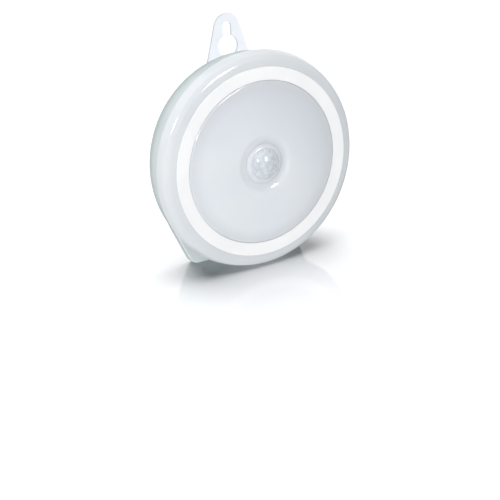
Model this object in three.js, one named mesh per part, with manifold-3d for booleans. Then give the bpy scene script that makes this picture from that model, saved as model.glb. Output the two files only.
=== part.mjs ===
// Round battery motion sensor light with a pull-out hanging tab and a standing foot.
// Millimetres, +Z up. The light faces -Y and the origin is the middle of its flat back.

import * as THREE from 'three';
import { mergeVertices } from 'three/addons/utils/BufferGeometryUtils.js';
import Module from 'manifold-3d';

const wasm = await Module();
wasm.setup();

// Shared clearances and facet counts
const seatGap = 0.3;
const solderGap = 0.1;
const overrun = 1;
const weldTolerance = 0.00001;
const wheelSteps = 44;
const boardSteps = 36;
const partSteps = 24;
const holeSteps = 10;
const curveSteps = 3;
const outlineSteps = 6;

// Whole body, measured back from the flat face of the trim ring
const bodyDepth = 25;
const shellRadius = 45.6;
const wallThickness = 1.8;

// Trim ring
const ringInset = 6.25;
const ringWidth = 4.85;
const ringThickness = 1.6;
const ringEdgeBevel = 0.35;

// Front shell
const shellCrestDepth = 6.1;
const shellLipDepth = 0.3;
const shellCreaseInset = 1;
const shellCreaseDepth = 2;
const shellFaceBulge = 0.55;
const shellBandBulge = 0.3;
const shellEdgeRadius = 0.6;
const shellSeamDepth = 6.8;
const shellLedgeThickness = 1.6;
const shellLedgeReach = 3.2;
const shellSeatWall = 1.5;
const shellPostRadius = 2.7;

// Rear housing
const housingStep = 0.85;
const housingTaper = 5;
const housingTaperPower = 2.45;
const housingRoundDepth = 1.8;
const housingRoundRadius = 4.5;
const spigotLength = 2.6;
const spigotThickness = 1.2;
const towerRadius = 3.9;
const towerLength = 10.2;
const towerFloorThickness = 1.6;

// Foot under the rear housing
const footHalfWidth = 25.8;
const footInset = 1.6;
const footThickness = 4.5;
const footCornerRadius = 4.6;
const footShoulderRadius = 8;

// Diffuser
const diffuserWall = 1.5;
const diffuserFlangeWidth = 4.4;
const diffuserFlangeThickness = 1;
const diffuserEdgeDepth = 0.8;
const diffuserEdgeRadius = 1.2;
const diffuserCrown = 1.7;
const funnelRadius = 12.6;
const funnelDrop = 1.2;

// Sensor lens, collar and shroud
const lensRadius = 6.3;
const lensDomeHeight = 3.6;
const lensWall = 0.8;
const lensBaseRise = 1.8;
const lensFlangeWidth = 1.6;
const lensFlangeThickness = 0.8;
const collarWall = 1.5;
const collarRise = 2.2;
const collarFlangeWidth = 1.6;
const collarFlangeThickness = 1;
const shroudWall = 1;

// Batteries, type AAA
const cellCount = 3;
const cellRadius = 5.25;
const cellLength = 43.5;
const cellNubRadius = 1.9;
const cellNubLength = 1;
const cellRimRadius = 4.6;
const cellRimDepth = 0.35;
const cellSpacing = 10.9;

// Battery springs and contacts
const springWire = 0.5;
const springTurns = 4;
const springLength = 4.2;
const springBaseRadius = 3.4;
const springTipRadius = 1.9;
const springTurnSteps = 8;
const springWireSides = 5;
const contactThickness = 0.4;
const contactWidth = 7.6;
const contactDimpleRadius = 1.6;
const contactDimpleHeight = 0.6;

// Battery bay and door
const bayCentreHeight = -4;
const bayWall = 1.8;
const bayFloorThickness = 1.2;
const cradleWidth = 1.6;
const cradleHeight = 1.9;
const cradleLength = 30;
const doorThickness = 1.6;
const doorSeatWidth = 1.2;
const doorCornerRadius = 1.6;
const doorHookWidth = 6;
const doorHookSpacing = 30;
const doorHookNeck = 1;
const doorHookReach = 1.3;
const doorHookThickness = 0.8;
const doorHookShelf = 0.6;
const doorHookPlay = 0.3;
const doorLatchWidth = 12;
const doorLatchLength = 7;
const doorLatchSlit = 1;
const doorLatchLegLength = 1.8;
const doorLatchLegThickness = 1;
const doorGripCount = 3;
const doorGripWidth = 0.7;
const doorGripDepth = 0.4;
const doorGripSpacing = 1.6;
const scoopRadius = 5;
const scoopDepth = 1.1;

// Hanger
const hangerThickness = 1.2;
const hangerSetback = 1.2;
const hangerRise = 12.9;
const hangerLength = 29;
const hangerTipRadius = 6;
const hangerTaperDegrees = 16.8;
const hangerFlareInset = 9.1;
const hangerFlareRadius = 4.5;
const hangerGuideHalfWidth = 12.5;
const hangerEarHalfWidth = 14.2;
const hangerEarLength = 2.6;
const hangerTravel = 14;
const keyholeDrop = 13.5;
const keyholeRadius = 4.4;
const keySlotHalfWidth = 1.75;
const keySlotDrop = 3.5;
const hangerLipOverlap = 5;
const hangerChannelFloor = 1.2;
const hangerGripCount = 2;
const hangerGripSpacing = 1.6;
const hangerGripWidth = 0.8;
const hangerGripHalfLength = 5;
const hangerGripRise = 0.6;

// Circuit board and what it carries
const boardInset = 0.5;
const boardThickness = 1.6;
const boardStandoff = 1.3;
const boardPostRadius = 2.4;
const boardPostTopInset = 5.4;
const boardPostLowInset = 4.4;
const boardPostLowHalfSpacing = 9;
const ledCount = 6;
const ledCircleRadius = 16;
const ledSize = 5;
const ledHeight = 1.6;
const ledWellRadius = 2;
const ledWellDepth = 0.4;
const canRadius = 4.1;
const canFlangeRadius = 4.6;
const canFlangeThickness = 0.6;
const canHeight = 4.2;
const canWindowWidth = 3.6;
const canWindowHeight = 2.8;
const canWindowDepth = 0.5;
const photocellRadius = 2.5;
const photocellHeight = 2;
const photocellCircleRadius = 10.6;
const chipLength = 9.9;
const chipWidth = 3.9;
const chipHeight = 1.6;
const chipLegRows = 7;
const chipLegPitch = 1.27;
const chipLegWidth = 0.42;
const chipLegReach = 1;
const chipLegThickness = 0.2;
const chipAcross = -11.5;
const chipInset = 9.9;
const capacitorRadius = 3.15;
const capacitorHeight = 5.4;
const capacitorBase = 6.6;
const capacitorBaseHeight = 0.7;
const capacitorAcross = 12;
const capacitorInset = 9.4;

// Reflector
const reflectorWall = 1;
const reflectorInset = 0.2;
const reflectorSlopeWidth = 5.2;
const reflectorRise = 3.9;
const reflectorWindowGap = 0.3;

// Switch
const switchInset = 14.6;
const switchTravel = 2.5;
const switchBodyLength = 12.4;
const switchBodyWidth = 5.5;
const switchBodyDepth = 4;
const switchBodyWall = 0.5;
const switchPinCount = 3;
const switchPinSpacing = 2.5;
const switchPinWidth = 0.6;
const switchPinLength = 2;
const switchPocketWall = 1.2;
const knobLength = 5.2;
const knobWidth = 3.8;
const knobThickness = 0.8;
const knobSink = 0.1;
const knobRidgeCount = 3;
const knobRidgeWidth = 0.5;
const knobRidgeDepth = 0.3;
const knobRidgeSpacing = 1.2;
const stemLength = 2.4;
const stemWidth = 1.6;
const sliderLength = 5;
const sliderWidth = 3.8;
const sliderThickness = 1.4;
const sliderPlay = 0.5;

// Screws
const screwInset = 3.85;
const screwUpperDegrees = 35;
const screwLowerDegrees = -53.4;
const screwHeadRadius = 2.5;
const screwHeadHeight = 1.7;
const screwShankRadius = 1;
const screwShankLength = 7.5;
const screwSlotWidth = 0.7;
const screwSlotDepth = 0.8;
const screwSlotLength = 3;
const boardScrewShankLength = 5.5;

// Places along the depth, worked out from the sizes above
const ringFace = -bodyDepth;
const backWallFront = -wallThickness;
const ringBack = ringFace + ringThickness;
const flangeFront = ringBack + seatGap;
const flangeBack = flangeFront + diffuserFlangeThickness;
const ledgeFront = flangeBack + seatGap;
const ledgeBack = ledgeFront + shellLedgeThickness;
const shellSeam = ringFace + shellSeamDepth;
const housingFront = shellSeam + seatGap;
const housingRoundStart = -housingRoundDepth;
const doorInner = -doorThickness;
const doorSeat = doorInner - seatGap;
const cellAxis = doorSeat - cellRadius;
const bayFloor = cellAxis - cellRadius - seatGap;
const bayFloorFront = bayFloor - bayFloorThickness;
const boardBack = bayFloorFront - boardStandoff;
const boardFront = boardBack - boardThickness;
const reflectorBack = boardFront - seatGap;
const collarFace = ringFace - collarRise;
const lensBase = ringFace - lensBaseRise;
const hangerBack = -hangerSetback;
const hangerFront = hangerBack - hangerThickness;
const towerEnd = -towerLength;
const towerFloor = towerEnd + towerFloorThickness;
const postEnd = towerEnd - seatGap;

// Radii worked out from the shell's, from the outside in
const shellCreaseRadius = shellRadius - shellCreaseInset;
const housingFrontRadius = shellRadius - housingStep;
const ringOuterRadius = shellRadius - ringInset;
const ringInnerRadius = ringOuterRadius - ringWidth;
const ringSeatRadius = ringOuterRadius + seatGap;
const ledgeInnerRadius = ringSeatRadius - shellLedgeReach;
const screwCircleRadius = ledgeInnerRadius - screwInset;
const boardRadius = screwCircleRadius - shellPostRadius - boardInset;
const reflectorRimRadius = boardRadius - reflectorInset;
const reflectorFlatRadius = reflectorRimRadius - reflectorSlopeWidth;

// Heights worked out from the same radii
const footDrop = shellRadius - footInset;
const switchHeight = switchInset - shellRadius;
const boardPostTopHeight = boardRadius - boardPostTopInset;
const boardPostLowHeight = boardPostLowInset - boardRadius;
const chipUp = boardRadius - chipInset;
const capacitorUp = boardRadius - capacitorInset;
const hangerTopHeight = shellRadius + hangerRise;
const hangerBottomHeight = hangerTopHeight - hangerLength;
const hangerFlareHeight = shellRadius - hangerFlareInset;
const keyholeCentreHeight = hangerTopHeight - keyholeDrop;
const keySlotTopHeight = hangerTopHeight - keySlotDrop;

// Sizes of the battery bay, worked out from the cells and contacts
const fullCellLength = cellLength + cellNubLength;
const contactStack = seatGap + contactThickness + seatGap;
const cellStack = fullCellLength + springLength + seatGap;
const bayHalfLength = (cellStack + 2 * contactStack + contactDimpleHeight) / 2;
const bayHalfHeight = ((cellCount - 1) * cellSpacing) / 2 + cellRadius + seatGap;
const bayTop = bayCentreHeight + bayHalfHeight;
const bayBottom = bayCentreHeight - bayHalfHeight;

const light = new THREE.Group();

// Finishes
const finishes = {
  shell: { color: 0xdfe5e8, roughness: 0.22, metalness: 0 },
  ring: { color: 0xf4f5f7, roughness: 0.5, metalness: 0 },
  diffuser: { color: 0xdde1e6, roughness: 0.35, metalness: 0 },
  housing: { color: 0xc3d0d1, roughness: 0.3, metalness: 0 },
  clear: { color: 0xe8eef2, roughness: 0.08, metalness: 0 },
  reflector: { color: 0xf6f6f4, roughness: 0.4, metalness: 0 },
  board: { color: 0x2f6b45, roughness: 0.5, metalness: 0 },
  ledBody: { color: 0xf3efd2, roughness: 0.4, metalness: 0 },
  tin: { color: 0xb9bcc0, roughness: 0.3, metalness: 1 },
  dark: { color: 0x26282c, roughness: 0.4, metalness: 0 },
  photocell: { color: 0xb8623a, roughness: 0.5, metalness: 0 },
  spring: { color: 0xc9c4b4, roughness: 0.3, metalness: 1 },
  cell: { color: 0x3c4650, roughness: 0.35, metalness: 0.4 },
  steel: { color: 0xa9adb1, roughness: 0.35, metalness: 1 },
};

// Turns a closed three.js geometry into a solid that can be joined and cut
function solid(geometry) {
  const bare = new THREE.BufferGeometry();
  bare.setAttribute('position', geometry.getAttribute('position').clone());
  bare.setIndex(geometry.getIndex());
  const welded = mergeVertices(bare, weldTolerance);
  const spots = welded.getAttribute('position').array;
  const order = welded.getIndex().array;
  const corners = [];
  for (let i = 0; i < order.length; i += 3) {
    const [a, b, c] = [order[i], order[i + 1], order[i + 2]];
    if (a !== b && b !== c && c !== a) corners.push(a, b, c);
  }
  if (signedVolume(spots, corners) < 0) corners.reverse();
  return new wasm.Manifold(new wasm.Mesh({
    numProp: 3,
    vertProperties: new Float32Array(spots),
    triVerts: new Uint32Array(corners),
  }));
}

function signedVolume(spots, corners) {
  const [a, b, c] = [new THREE.Vector3(), new THREE.Vector3(), new THREE.Vector3()];
  let total = 0;
  for (let i = 0; i < corners.length; i += 3) {
    a.fromArray(spots, corners[i] * 3);
    b.fromArray(spots, corners[i + 1] * 3);
    c.fromArray(spots, corners[i + 2] * 3);
    total += a.dot(b.cross(c));
  }
  return total;
}

// Adds one named piece, at its place, to a group
function addPiece(name, body, finish, place = [0, 0, 0], group = light) {
  const raw = body.getMesh();
  const geometry = new THREE.BufferGeometry();
  geometry.setAttribute('position', new THREE.BufferAttribute(new Float32Array(raw.vertProperties), 3));
  geometry.setIndex(new THREE.BufferAttribute(new Uint32Array(raw.triVerts), 1));
  geometry.computeVertexNormals();
  const mesh = new THREE.Mesh(geometry, new THREE.MeshStandardMaterial(finish));
  mesh.name = name;
  mesh.position.set(...place);
  group.add(mesh);
  return mesh;
}

// A closed profile of [radius, y] points turned about the light's own axis
function turned(profile, steps = wheelSteps) {
  const points = profile.map(([radius, y]) => new THREE.Vector2(radius, y));
  const closed = [...points, points[0].clone()];
  return solid(new THREE.LatheGeometry(closed, steps));
}

// A box between two corners
function block([x0, y0, z0], [x1, y1, z1]) {
  const box = new THREE.BoxGeometry(x1 - x0, y1 - y0, z1 - z0);
  box.translate((x0 + x1) / 2, (y0 + y1) / 2, (z0 + z1) / 2);
  return solid(box);
}

// A round bar along the depth, from one y to another, at a place across and up
function bar(radius, from, to, across = 0, up = 0, steps = holeSteps) {
  const cylinder = new THREE.CylinderGeometry(radius, radius, to - from, steps);
  cylinder.translate(across, (from + to) / 2, up);
  return solid(cylinder);
}

// An outline seen from the front, [across, up], made as thick as from one y to another
function plate(outline, from, to, steps = outlineSteps) {
  const sheet = new THREE.ExtrudeGeometry(outline, {
    depth: to - from,
    bevelEnabled: false,
    curveSegments: steps,
  });
  sheet.rotateX(Math.PI / 2);
  sheet.translate(0, to, 0);
  return solid(sheet);
}

// An outline through corners [across, up, radius], each rounded by its own radius
function roundedOutline(corners) {
  const outline = new THREE.Shape();
  corners.forEach(([x, z, radius], i) => {
    const here = new THREE.Vector2(x, z);
    const before = new THREE.Vector2(...corners[(i + corners.length - 1) % corners.length]);
    const after = new THREE.Vector2(...corners[(i + 1) % corners.length]);
    const toBefore = before.sub(here).normalize();
    const toAfter = after.sub(here).normalize();
    const halfAngle = Math.acos(toBefore.dot(toAfter)) / 2;
    const reach = radius / Math.tan(halfAngle);
    const start = here.clone().addScaledVector(toBefore, reach);
    const end = here.clone().addScaledVector(toAfter, reach);
    if (i === 0) outline.moveTo(start.x, start.y);
    else outline.lineTo(start.x, start.y);
    if (radius > 0) outline.quadraticCurveTo(here.x, here.y, end.x, end.y);
  });
  outline.closePath();
  return outline;
}

function rectangle(halfWidth, low, high, radius) {
  return roundedOutline([
    [-halfWidth, low, radius],
    [halfWidth, low, radius],
    [halfWidth, high, radius],
    [-halfWidth, high, radius],
  ]);
}

// Points of a curve from one [radius, y] to another, pulled towards a third
function bend(start, pull, end, steps = curveSteps) {
  const curve = new THREE.QuadraticBezierCurve(
    new THREE.Vector2(...start),
    new THREE.Vector2(...pull),
    new THREE.Vector2(...end),
  );
  return curve.getPoints(steps).map((point) => [point.x, point.y]);
}

function join(solids) {
  return solids.reduce((whole, next) => whole.add(next));
}

function cut(body, tools) {
  return tools.reduce((left, tool) => left.subtract(tool), body);
}

// Places across and up of the four housing screws
function housingScrewPlaces() {
  const places = [];
  for (const degrees of [screwUpperDegrees, screwLowerDegrees]) {
    const angle = THREE.MathUtils.degToRad(degrees);
    const x = screwCircleRadius * Math.cos(angle);
    const z = screwCircleRadius * Math.sin(angle);
    places.push([x, z], [-x, z]);
  }
  return places;
}

function boardScrewPlaces() {
  return [
    [0, boardPostTopHeight],
    [-boardPostLowHalfSpacing, boardPostLowHeight],
    [boardPostLowHalfSpacing, boardPostLowHeight],
  ];
}

// Radius of the outside of the rear housing at a depth
function housingRadius(y) {
  const run = housingRoundStart - housingFront;
  const share = (y - housingFront) / run;
  return housingFrontRadius - housingTaper * share ** housingTaperPower;
}

// Profile of the outside of the rear housing, or of its inside when it is drawn in by a wall
function housingProfile(inset) {
  const sideSteps = 5;
  const side = [];
  for (let i = 0; i <= sideSteps; i += 1) {
    const y = housingFront + ((housingRoundStart - housingFront) * i) / sideSteps;
    side.push([housingRadius(y) - inset, y - inset * (i / sideSteps)]);
  }
  const [lastRadius, lastDepth] = side[sideSteps];
  const slope = (housingTaper * housingTaperPower) / (housingRoundStart - housingFront);
  const flatRadius = lastRadius - housingRoundRadius * Math.cos(Math.atan(slope));
  const flat = -inset;
  const cornerRadius = lastRadius - (flat - lastDepth) * slope;
  const corner = bend([lastRadius, lastDepth], [cornerRadius, flat], [flatRadius, flat]);
  return [[0, housingFront], ...side, ...corner.slice(1), [0, flat]];
}

// The flat ring that frames the diffuser
function trimRing() {
  return turned([
    [ringInnerRadius + ringEdgeBevel, ringFace],
    [ringOuterRadius - ringEdgeBevel, ringFace],
    [ringOuterRadius, ringFace + ringEdgeBevel],
    [ringOuterRadius, ringBack],
    [ringInnerRadius, ringBack],
    [ringInnerRadius, ringFace + ringEdgeBevel],
  ]);
}

// The front moulding: a sloping face, a crease, a bulging side band and a ledge for the diffuser
function frontShell() {
  const lip = [ringSeatRadius, ringFace + shellLipDepth];
  const crease = [shellCreaseRadius, ringFace + shellCreaseDepth];
  const crest = [shellRadius, ringFace + shellCrestDepth];
  const seamEdge = [shellRadius - shellEdgeRadius, shellSeam];
  const facePull = [
    (lip[0] + crease[0]) / 2 + shellFaceBulge,
    (lip[1] + crease[1]) / 2 - shellFaceBulge,
  ];
  const bandPull = [
    (crease[0] + crest[0]) / 2 + shellBandBulge,
    (crease[1] + crest[1]) / 2 - shellBandBulge,
  ];
  const skinInner = shellRadius - wallThickness;
  const seatOuter = ringSeatRadius + shellSeatWall;
  const skinTurn = crease[1] + wallThickness;
  const hollowFront = lip[1] + wallThickness;
  const profile = [
    ...bend(lip, facePull, crease),
    ...bend(crease, bandPull, crest).slice(1),
    ...bend(crest, [shellRadius, shellSeam], seamEdge).slice(1),
    [skinInner, shellSeam],
    [skinInner, skinTurn],
    [seatOuter, hollowFront],
    [seatOuter, ledgeBack],
    [ledgeInnerRadius, ledgeBack],
    [ledgeInnerRadius, ledgeFront],
    [ringSeatRadius, ledgeFront],
  ];
  const posts = housingScrewPlaces().map(([x, z]) => screwPost(x, z));
  const bores = housingScrewPlaces().map(([x, z]) => (
    bar(screwShankRadius + seatGap, ledgeBack, postEnd + overrun, x, z)
  ));
  return cut(join([turned(profile), ...posts]), bores);
}

// A post under the front shell's ledge that takes a housing screw, with the ear that carries it
function screwPost(x, z) {
  const angle = Math.atan2(z, x);
  const earReach = ledgeInnerRadius + shellPostRadius - screwCircleRadius;
  const ear = new THREE.BoxGeometry(earReach, shellLedgeThickness, 2 * shellPostRadius);
  ear.translate(screwCircleRadius + earReach / 2, ledgeFront + shellLedgeThickness / 2, 0);
  ear.rotateY(-angle);
  return bar(shellPostRadius, ledgeFront, postEnd, x, z).add(solid(ear));
}

// The milky disc: a flange under the ring, a round edge, a low crown and a funnel round the sensor
function diffuser() {
  const edge = ringInnerRadius - seatGap;
  const flange = edge + diffuserFlangeWidth;
  const hole = lensRadius + seatGap + collarWall + seatGap;
  const crownFace = ringFace - diffuserCrown;
  const edgeFace = ringFace + diffuserEdgeDepth - diffuserEdgeRadius;
  const shoulder = edge - diffuserEdgeRadius;
  const crownPull = (funnelRadius + shoulder) / 2;
  const funnelFace = crownFace + funnelDrop;
  const funnelPull = (hole + funnelRadius) / 2;
  const front = [
    [hole, funnelFace],
    ...bend([hole, funnelFace], [funnelPull, crownFace], [funnelRadius, crownFace]).slice(1),
    ...bend([funnelRadius, crownFace], [crownPull, crownFace], [shoulder, edgeFace]).slice(1),
    ...bend([shoulder, edgeFace], [edge, edgeFace], [edge, edgeFace + diffuserEdgeRadius]).slice(1),
  ];
  const inner = edge - diffuserWall;
  const back = [
    [inner, flangeBack],
    [inner, edgeFace + diffuserWall + diffuserEdgeRadius / 2],
    ...bend(
      [shoulder - diffuserWall / 2, edgeFace + diffuserWall],
      [crownPull, crownFace + diffuserWall],
      [funnelRadius, crownFace + diffuserWall],
    ),
    [hole, funnelFace + diffuserWall],
  ];
  return turned([...front, [edge, flangeFront], [flange, flangeFront], [flange, flangeBack], ...back]);
}

// The clear ring round the lens, with a flange behind the diffuser
function sensorCollar() {
  const inner = lensRadius + seatGap;
  const outer = inner + collarWall;
  const diffuserBack = ringFace - diffuserCrown + funnelDrop + diffuserWall;
  const flangeStart = diffuserBack + seatGap;
  const flangeEnd = flangeStart + collarFlangeThickness;
  const crown = collarWall / 2;
  return turned([
    ...bend([inner, collarFace + crown], [inner, collarFace], [inner + crown, collarFace]),
    ...bend([inner + crown, collarFace], [outer, collarFace], [outer, collarFace + crown]).slice(1),
    [outer, flangeStart],
    [outer + collarFlangeWidth, flangeStart],
    [outer + collarFlangeWidth, flangeEnd],
    [inner, flangeEnd],
  ], partSteps);
}

// Where the collar ends and the lens flange starts
function lensFlangeFront() {
  const diffuserBack = ringFace - diffuserCrown + funnelDrop + diffuserWall;
  return diffuserBack + seatGap + collarFlangeThickness + seatGap;
}

// Points of a shallow dome from its rim to the axis
function domePoints(rim, height, base, steps) {
  const sphere = (rim * rim + height * height) / (2 * height);
  const half = Math.asin(rim / sphere);
  const points = [];
  for (let i = 0; i <= steps; i += 1) {
    const angle = half * (1 - i / steps);
    points.push([sphere * Math.sin(angle), base - height + sphere * (1 - Math.cos(angle))]);
  }
  return points;
}

// The clear domed lens of the motion sensor
function sensorLens() {
  const flangeFront = lensFlangeFront();
  const flangeEnd = flangeFront + lensFlangeThickness;
  const domeSteps = 4;
  const outside = domePoints(lensRadius, lensDomeHeight, lensBase, domeSteps).reverse();
  const innerHeight = lensDomeHeight - lensWall / 2;
  const inside = domePoints(lensRadius - lensWall, innerHeight, lensBase + lensWall / 2, domeSteps);
  return turned([
    ...outside,
    [lensRadius, flangeFront],
    [lensRadius + lensFlangeWidth, flangeFront],
    [lensRadius + lensFlangeWidth, flangeEnd],
    [lensRadius - lensWall, flangeEnd],
    ...inside,
  ], partSteps);
}

// The white tube that keeps stray light off the sensor
function sensorShroud() {
  const inner = lensRadius - lensWall;
  const outer = inner + shroudWall;
  const top = lensFlangeFront() + lensFlangeThickness + seatGap;
  return turned([
    [inner, top],
    [outer, top],
    [outer, boardFront - solderGap],
    [inner, boardFront - solderGap],
  ], partSteps);
}

// The white dish over the circuit board, open at each light, screw and sensor
function reflector() {
  const face = reflectorBack - reflectorWall;
  const rimFace = reflectorBack - reflectorRise - reflectorWall;
  const hole = lensRadius - lensWall + shroudWall + seatGap;
  const dish = turned([
    [hole, face],
    [reflectorFlatRadius, face],
    [reflectorRimRadius - reflectorWall, rimFace],
    [reflectorRimRadius, rimFace],
    [reflectorFlatRadius + reflectorWall, reflectorBack],
    [hole, reflectorBack],
  ], boardSteps);
  const windowHalf = ledSize / 2 + reflectorWindowGap;
  const windows = ledPlaces().map(([x, z]) => block(
    [x - windowHalf, face - overrun, z - windowHalf],
    [x + windowHalf, reflectorBack + overrun, z + windowHalf],
  ));
  const screwHoles = boardScrewPlaces().map(([x, z]) => (
    bar(screwHeadRadius + seatGap, rimFace - overrun, reflectorBack + overrun, x, z)
  ));
  const eye = bar(
    photocellRadius + reflectorWindowGap,
    face - overrun,
    reflectorBack + overrun,
    0,
    photocellCircleRadius,
  );
  return cut(dish, [...windows, ...screwHoles, eye]);
}

// Places across and up of the light-emitting diodes
function ledPlaces() {
  const places = [];
  for (let i = 0; i < ledCount; i += 1) {
    const angle = (2 * Math.PI * i) / ledCount;
    places.push([ledCircleRadius * Math.cos(angle), ledCircleRadius * Math.sin(angle)]);
  }
  return places;
}

function led() {
  const half = ledSize / 2;
  const body = block([-half, -ledHeight, -half], [half, 0, half]);
  return body.subtract(bar(ledWellRadius, -ledHeight - overrun, -ledHeight + ledWellDepth));
}

function circuitBoard() {
  const disc = bar(boardRadius, boardFront, boardBack, 0, 0, boardSteps);
  const holes = boardScrewPlaces().map(([x, z]) => (
    bar(screwShankRadius + seatGap, boardFront - overrun, boardBack + overrun, x, z)
  ));
  return cut(disc, holes);
}

// The metal can of the motion sensor, with a well in its face for the window
function pirSensor() {
  const can = turned([
    [0, -canHeight],
    [canRadius, -canHeight],
    [canRadius, -canFlangeThickness],
    [canFlangeRadius, -canFlangeThickness],
    [canFlangeRadius, 0],
    [0, 0],
  ], partSteps);
  const halfWidth = canWindowWidth / 2 + solderGap;
  const halfHeight = canWindowHeight / 2 + solderGap;
  const well = block(
    [-halfWidth, -canHeight - overrun, -halfHeight],
    [halfWidth, -canHeight + canWindowDepth + solderGap, halfHeight],
  );
  return can.subtract(well);
}

function pirWindow() {
  const [halfWidth, halfHeight] = [canWindowWidth / 2, canWindowHeight / 2];
  return block([-halfWidth, -canHeight, -halfHeight], [halfWidth, -canHeight + canWindowDepth, halfHeight]);
}

function controlChip() {
  const [halfLength, halfWidth] = [chipLength / 2, chipWidth / 2];
  const body = block([-halfLength, chipLegThickness, -halfWidth], [halfLength, chipHeight, halfWidth]);
  const legs = [];
  for (let i = 0; i < chipLegRows; i += 1) {
    const x = (i - (chipLegRows - 1) / 2) * chipLegPitch;
    const [left, right] = [x - chipLegWidth / 2, x + chipLegWidth / 2];
    const outer = halfWidth + chipLegReach;
    legs.push(block([left, 0, -outer], [right, 2 * chipLegThickness, outer]));
  }
  return join([body, ...legs]);
}

function timingCapacitor() {
  const half = capacitorBase / 2;
  const base = block([-half, 0, -half], [half, capacitorBaseHeight, half]);
  return base.add(bar(capacitorRadius, capacitorBaseHeight / 2, capacitorHeight, 0, 0, partSteps));
}

// A pan-head screw whose shank runs towards -Y from the underside of its head at y 0
function screw(shankLength) {
  const head = turned([
    [0, screwHeadHeight],
    [screwHeadRadius / 2, screwHeadHeight],
    [screwHeadRadius, screwHeadHeight / 2],
    [screwHeadRadius, 0],
    [screwShankRadius, 0],
    [screwShankRadius, -shankLength + screwShankRadius],
    [0, -shankLength],
  ], holeSteps);
  const [halfLength, halfWidth] = [screwSlotLength / 2, screwSlotWidth / 2];
  const [low, high] = [screwHeadHeight - screwSlotDepth, screwHeadHeight + overrun];
  return cut(head, [
    block([-halfLength, low, -halfWidth], [halfLength, high, halfWidth]),
    block([-halfWidth, low, -halfLength], [halfWidth, high, halfLength]),
  ]);
}

// The rear moulding: a tapering wall, a flat back and the foot, with all that is moulded inside
function rearHousing() {
  const outside = turned(housingProfile(0));
  const inside = turned(housingProfile(wallThickness));
  const mouthRadius = housingFrontRadius - wallThickness;
  const mouth = bar(mouthRadius, housingFront - overrun, housingFront + overrun, 0, 0, wheelSteps);
  const shell = cut(outside.add(foot()), [inside, mouth]);
  const fittings = join([
    bayTub(),
    hangerChannel(),
    switchPocket(),
    ...housingScrewPlaces().map(([x, z]) => bar(towerRadius, towerEnd, 0, x, z)),
    ...boardScrewPlaces().map(([x, z]) => bar(boardPostRadius, boardBack + solderGap, 0, x, z)),
  ]).intersect(outside.add(foot()));
  return cut(join([shell, fittings, spigot()]), [
    ...bayCuts(),
    ...hangerCuts(),
    ...switchCuts(),
    ...housingScrewCuts(),
    ...boardScrewCuts(),
  ]).add(cradles());
}

// The ring that stands forward of the housing and locates the front shell
function spigot() {
  const outer = shellRadius - wallThickness - seatGap;
  const inner = outer - spigotThickness;
  return turned([
    [inner, housingFront - spigotLength],
    [outer, housingFront - spigotLength],
    [outer, housingFront + spigotThickness],
    [inner, housingFront + spigotThickness],
  ]);
}

// The flat-bottomed foot, its sides tangent to the housing where its front face meets it
function foot() {
  const circle = housingRadius(-footThickness);
  const reach = Math.hypot(footHalfWidth, footDrop);
  const along = Math.sqrt(reach * reach - circle * circle);
  const lean = Math.asin(circle / reach) - Math.atan2(footHalfWidth, footDrop);
  const top = [footHalfWidth + along * Math.sin(lean), along * Math.cos(lean) - footDrop];
  const outline = roundedOutline([
    [-footHalfWidth, -footDrop, footCornerRadius],
    [footHalfWidth, -footDrop, footCornerRadius],
    [top[0], top[1], footShoulderRadius],
    [-top[0], top[1], footShoulderRadius],
  ]);
  return plate(outline, -footThickness, 0);
}

function bayTub() {
  const half = bayHalfLength + bayWall;
  return block([-half, bayFloorFront, bayBottom - bayWall], [half, 0, bayTop + bayWall]);
}

// The battery bay itself, the rebate for its door, the pockets for its hooks and the thumb scoop
function bayCuts() {
  const pocket = block([-bayHalfLength, bayFloor, bayBottom], [bayHalfLength, overrun, bayTop]);
  const [seatLow, seatHigh] = [bayBottom - doorSeatWidth, bayTop + doorSeatWidth];
  const seatOutline = rectangle(bayHalfLength + doorSeatWidth, seatLow, seatHigh, doorCornerRadius);
  const seat = plate(seatOutline, doorSeat, overrun);
  const pocketTop = doorSeat - doorHookShelf;
  const pocketBottom = pocketTop - doorHookThickness - 2 * doorHookPlay;
  const hookPockets = doorHookPlaces().map((x) => block(
    [x - doorHookWidth / 2 - seatGap, pocketBottom, bayTop - overrun],
    [x + doorHookWidth / 2 + seatGap, pocketTop, bayTop + doorHookReach],
  ));
  const scoop = bar(scoopRadius, -scoopDepth, overrun, 0, bayBottom - doorSeatWidth, partSteps);
  return [pocket, seat, ...hookPockets, scoop];
}

function doorHookPlaces() {
  return [-doorHookSpacing / 2, doorHookSpacing / 2];
}

// Low ribs on the bay's floor that keep the cells apart
function cradles() {
  const ribs = [];
  for (let i = 1; i < cellCount; i += 1) {
    const z = cellHeight(i) - cellSpacing / 2;
    ribs.push(block(
      [-cradleLength / 2, bayFloorFront + bayFloorThickness / 2, z - cradleWidth / 2],
      [cradleLength / 2, bayFloor + cradleHeight, z + cradleWidth / 2],
    ));
  }
  return join(ribs);
}

function cellHeight(i) {
  return bayCentreHeight + (i - (cellCount - 1) / 2) * cellSpacing;
}

// The block that the hanger slides in, flush with the housing's back
function hangerChannel() {
  const half = hangerEarHalfWidth + seatGap + bayWall;
  const low = hangerBottomHeight - hangerTravel - seatGap - bayWall;
  return block([-half, hangerFront - seatGap - hangerChannelFloor, low], [half, 0, shellRadius]);
}

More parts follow.
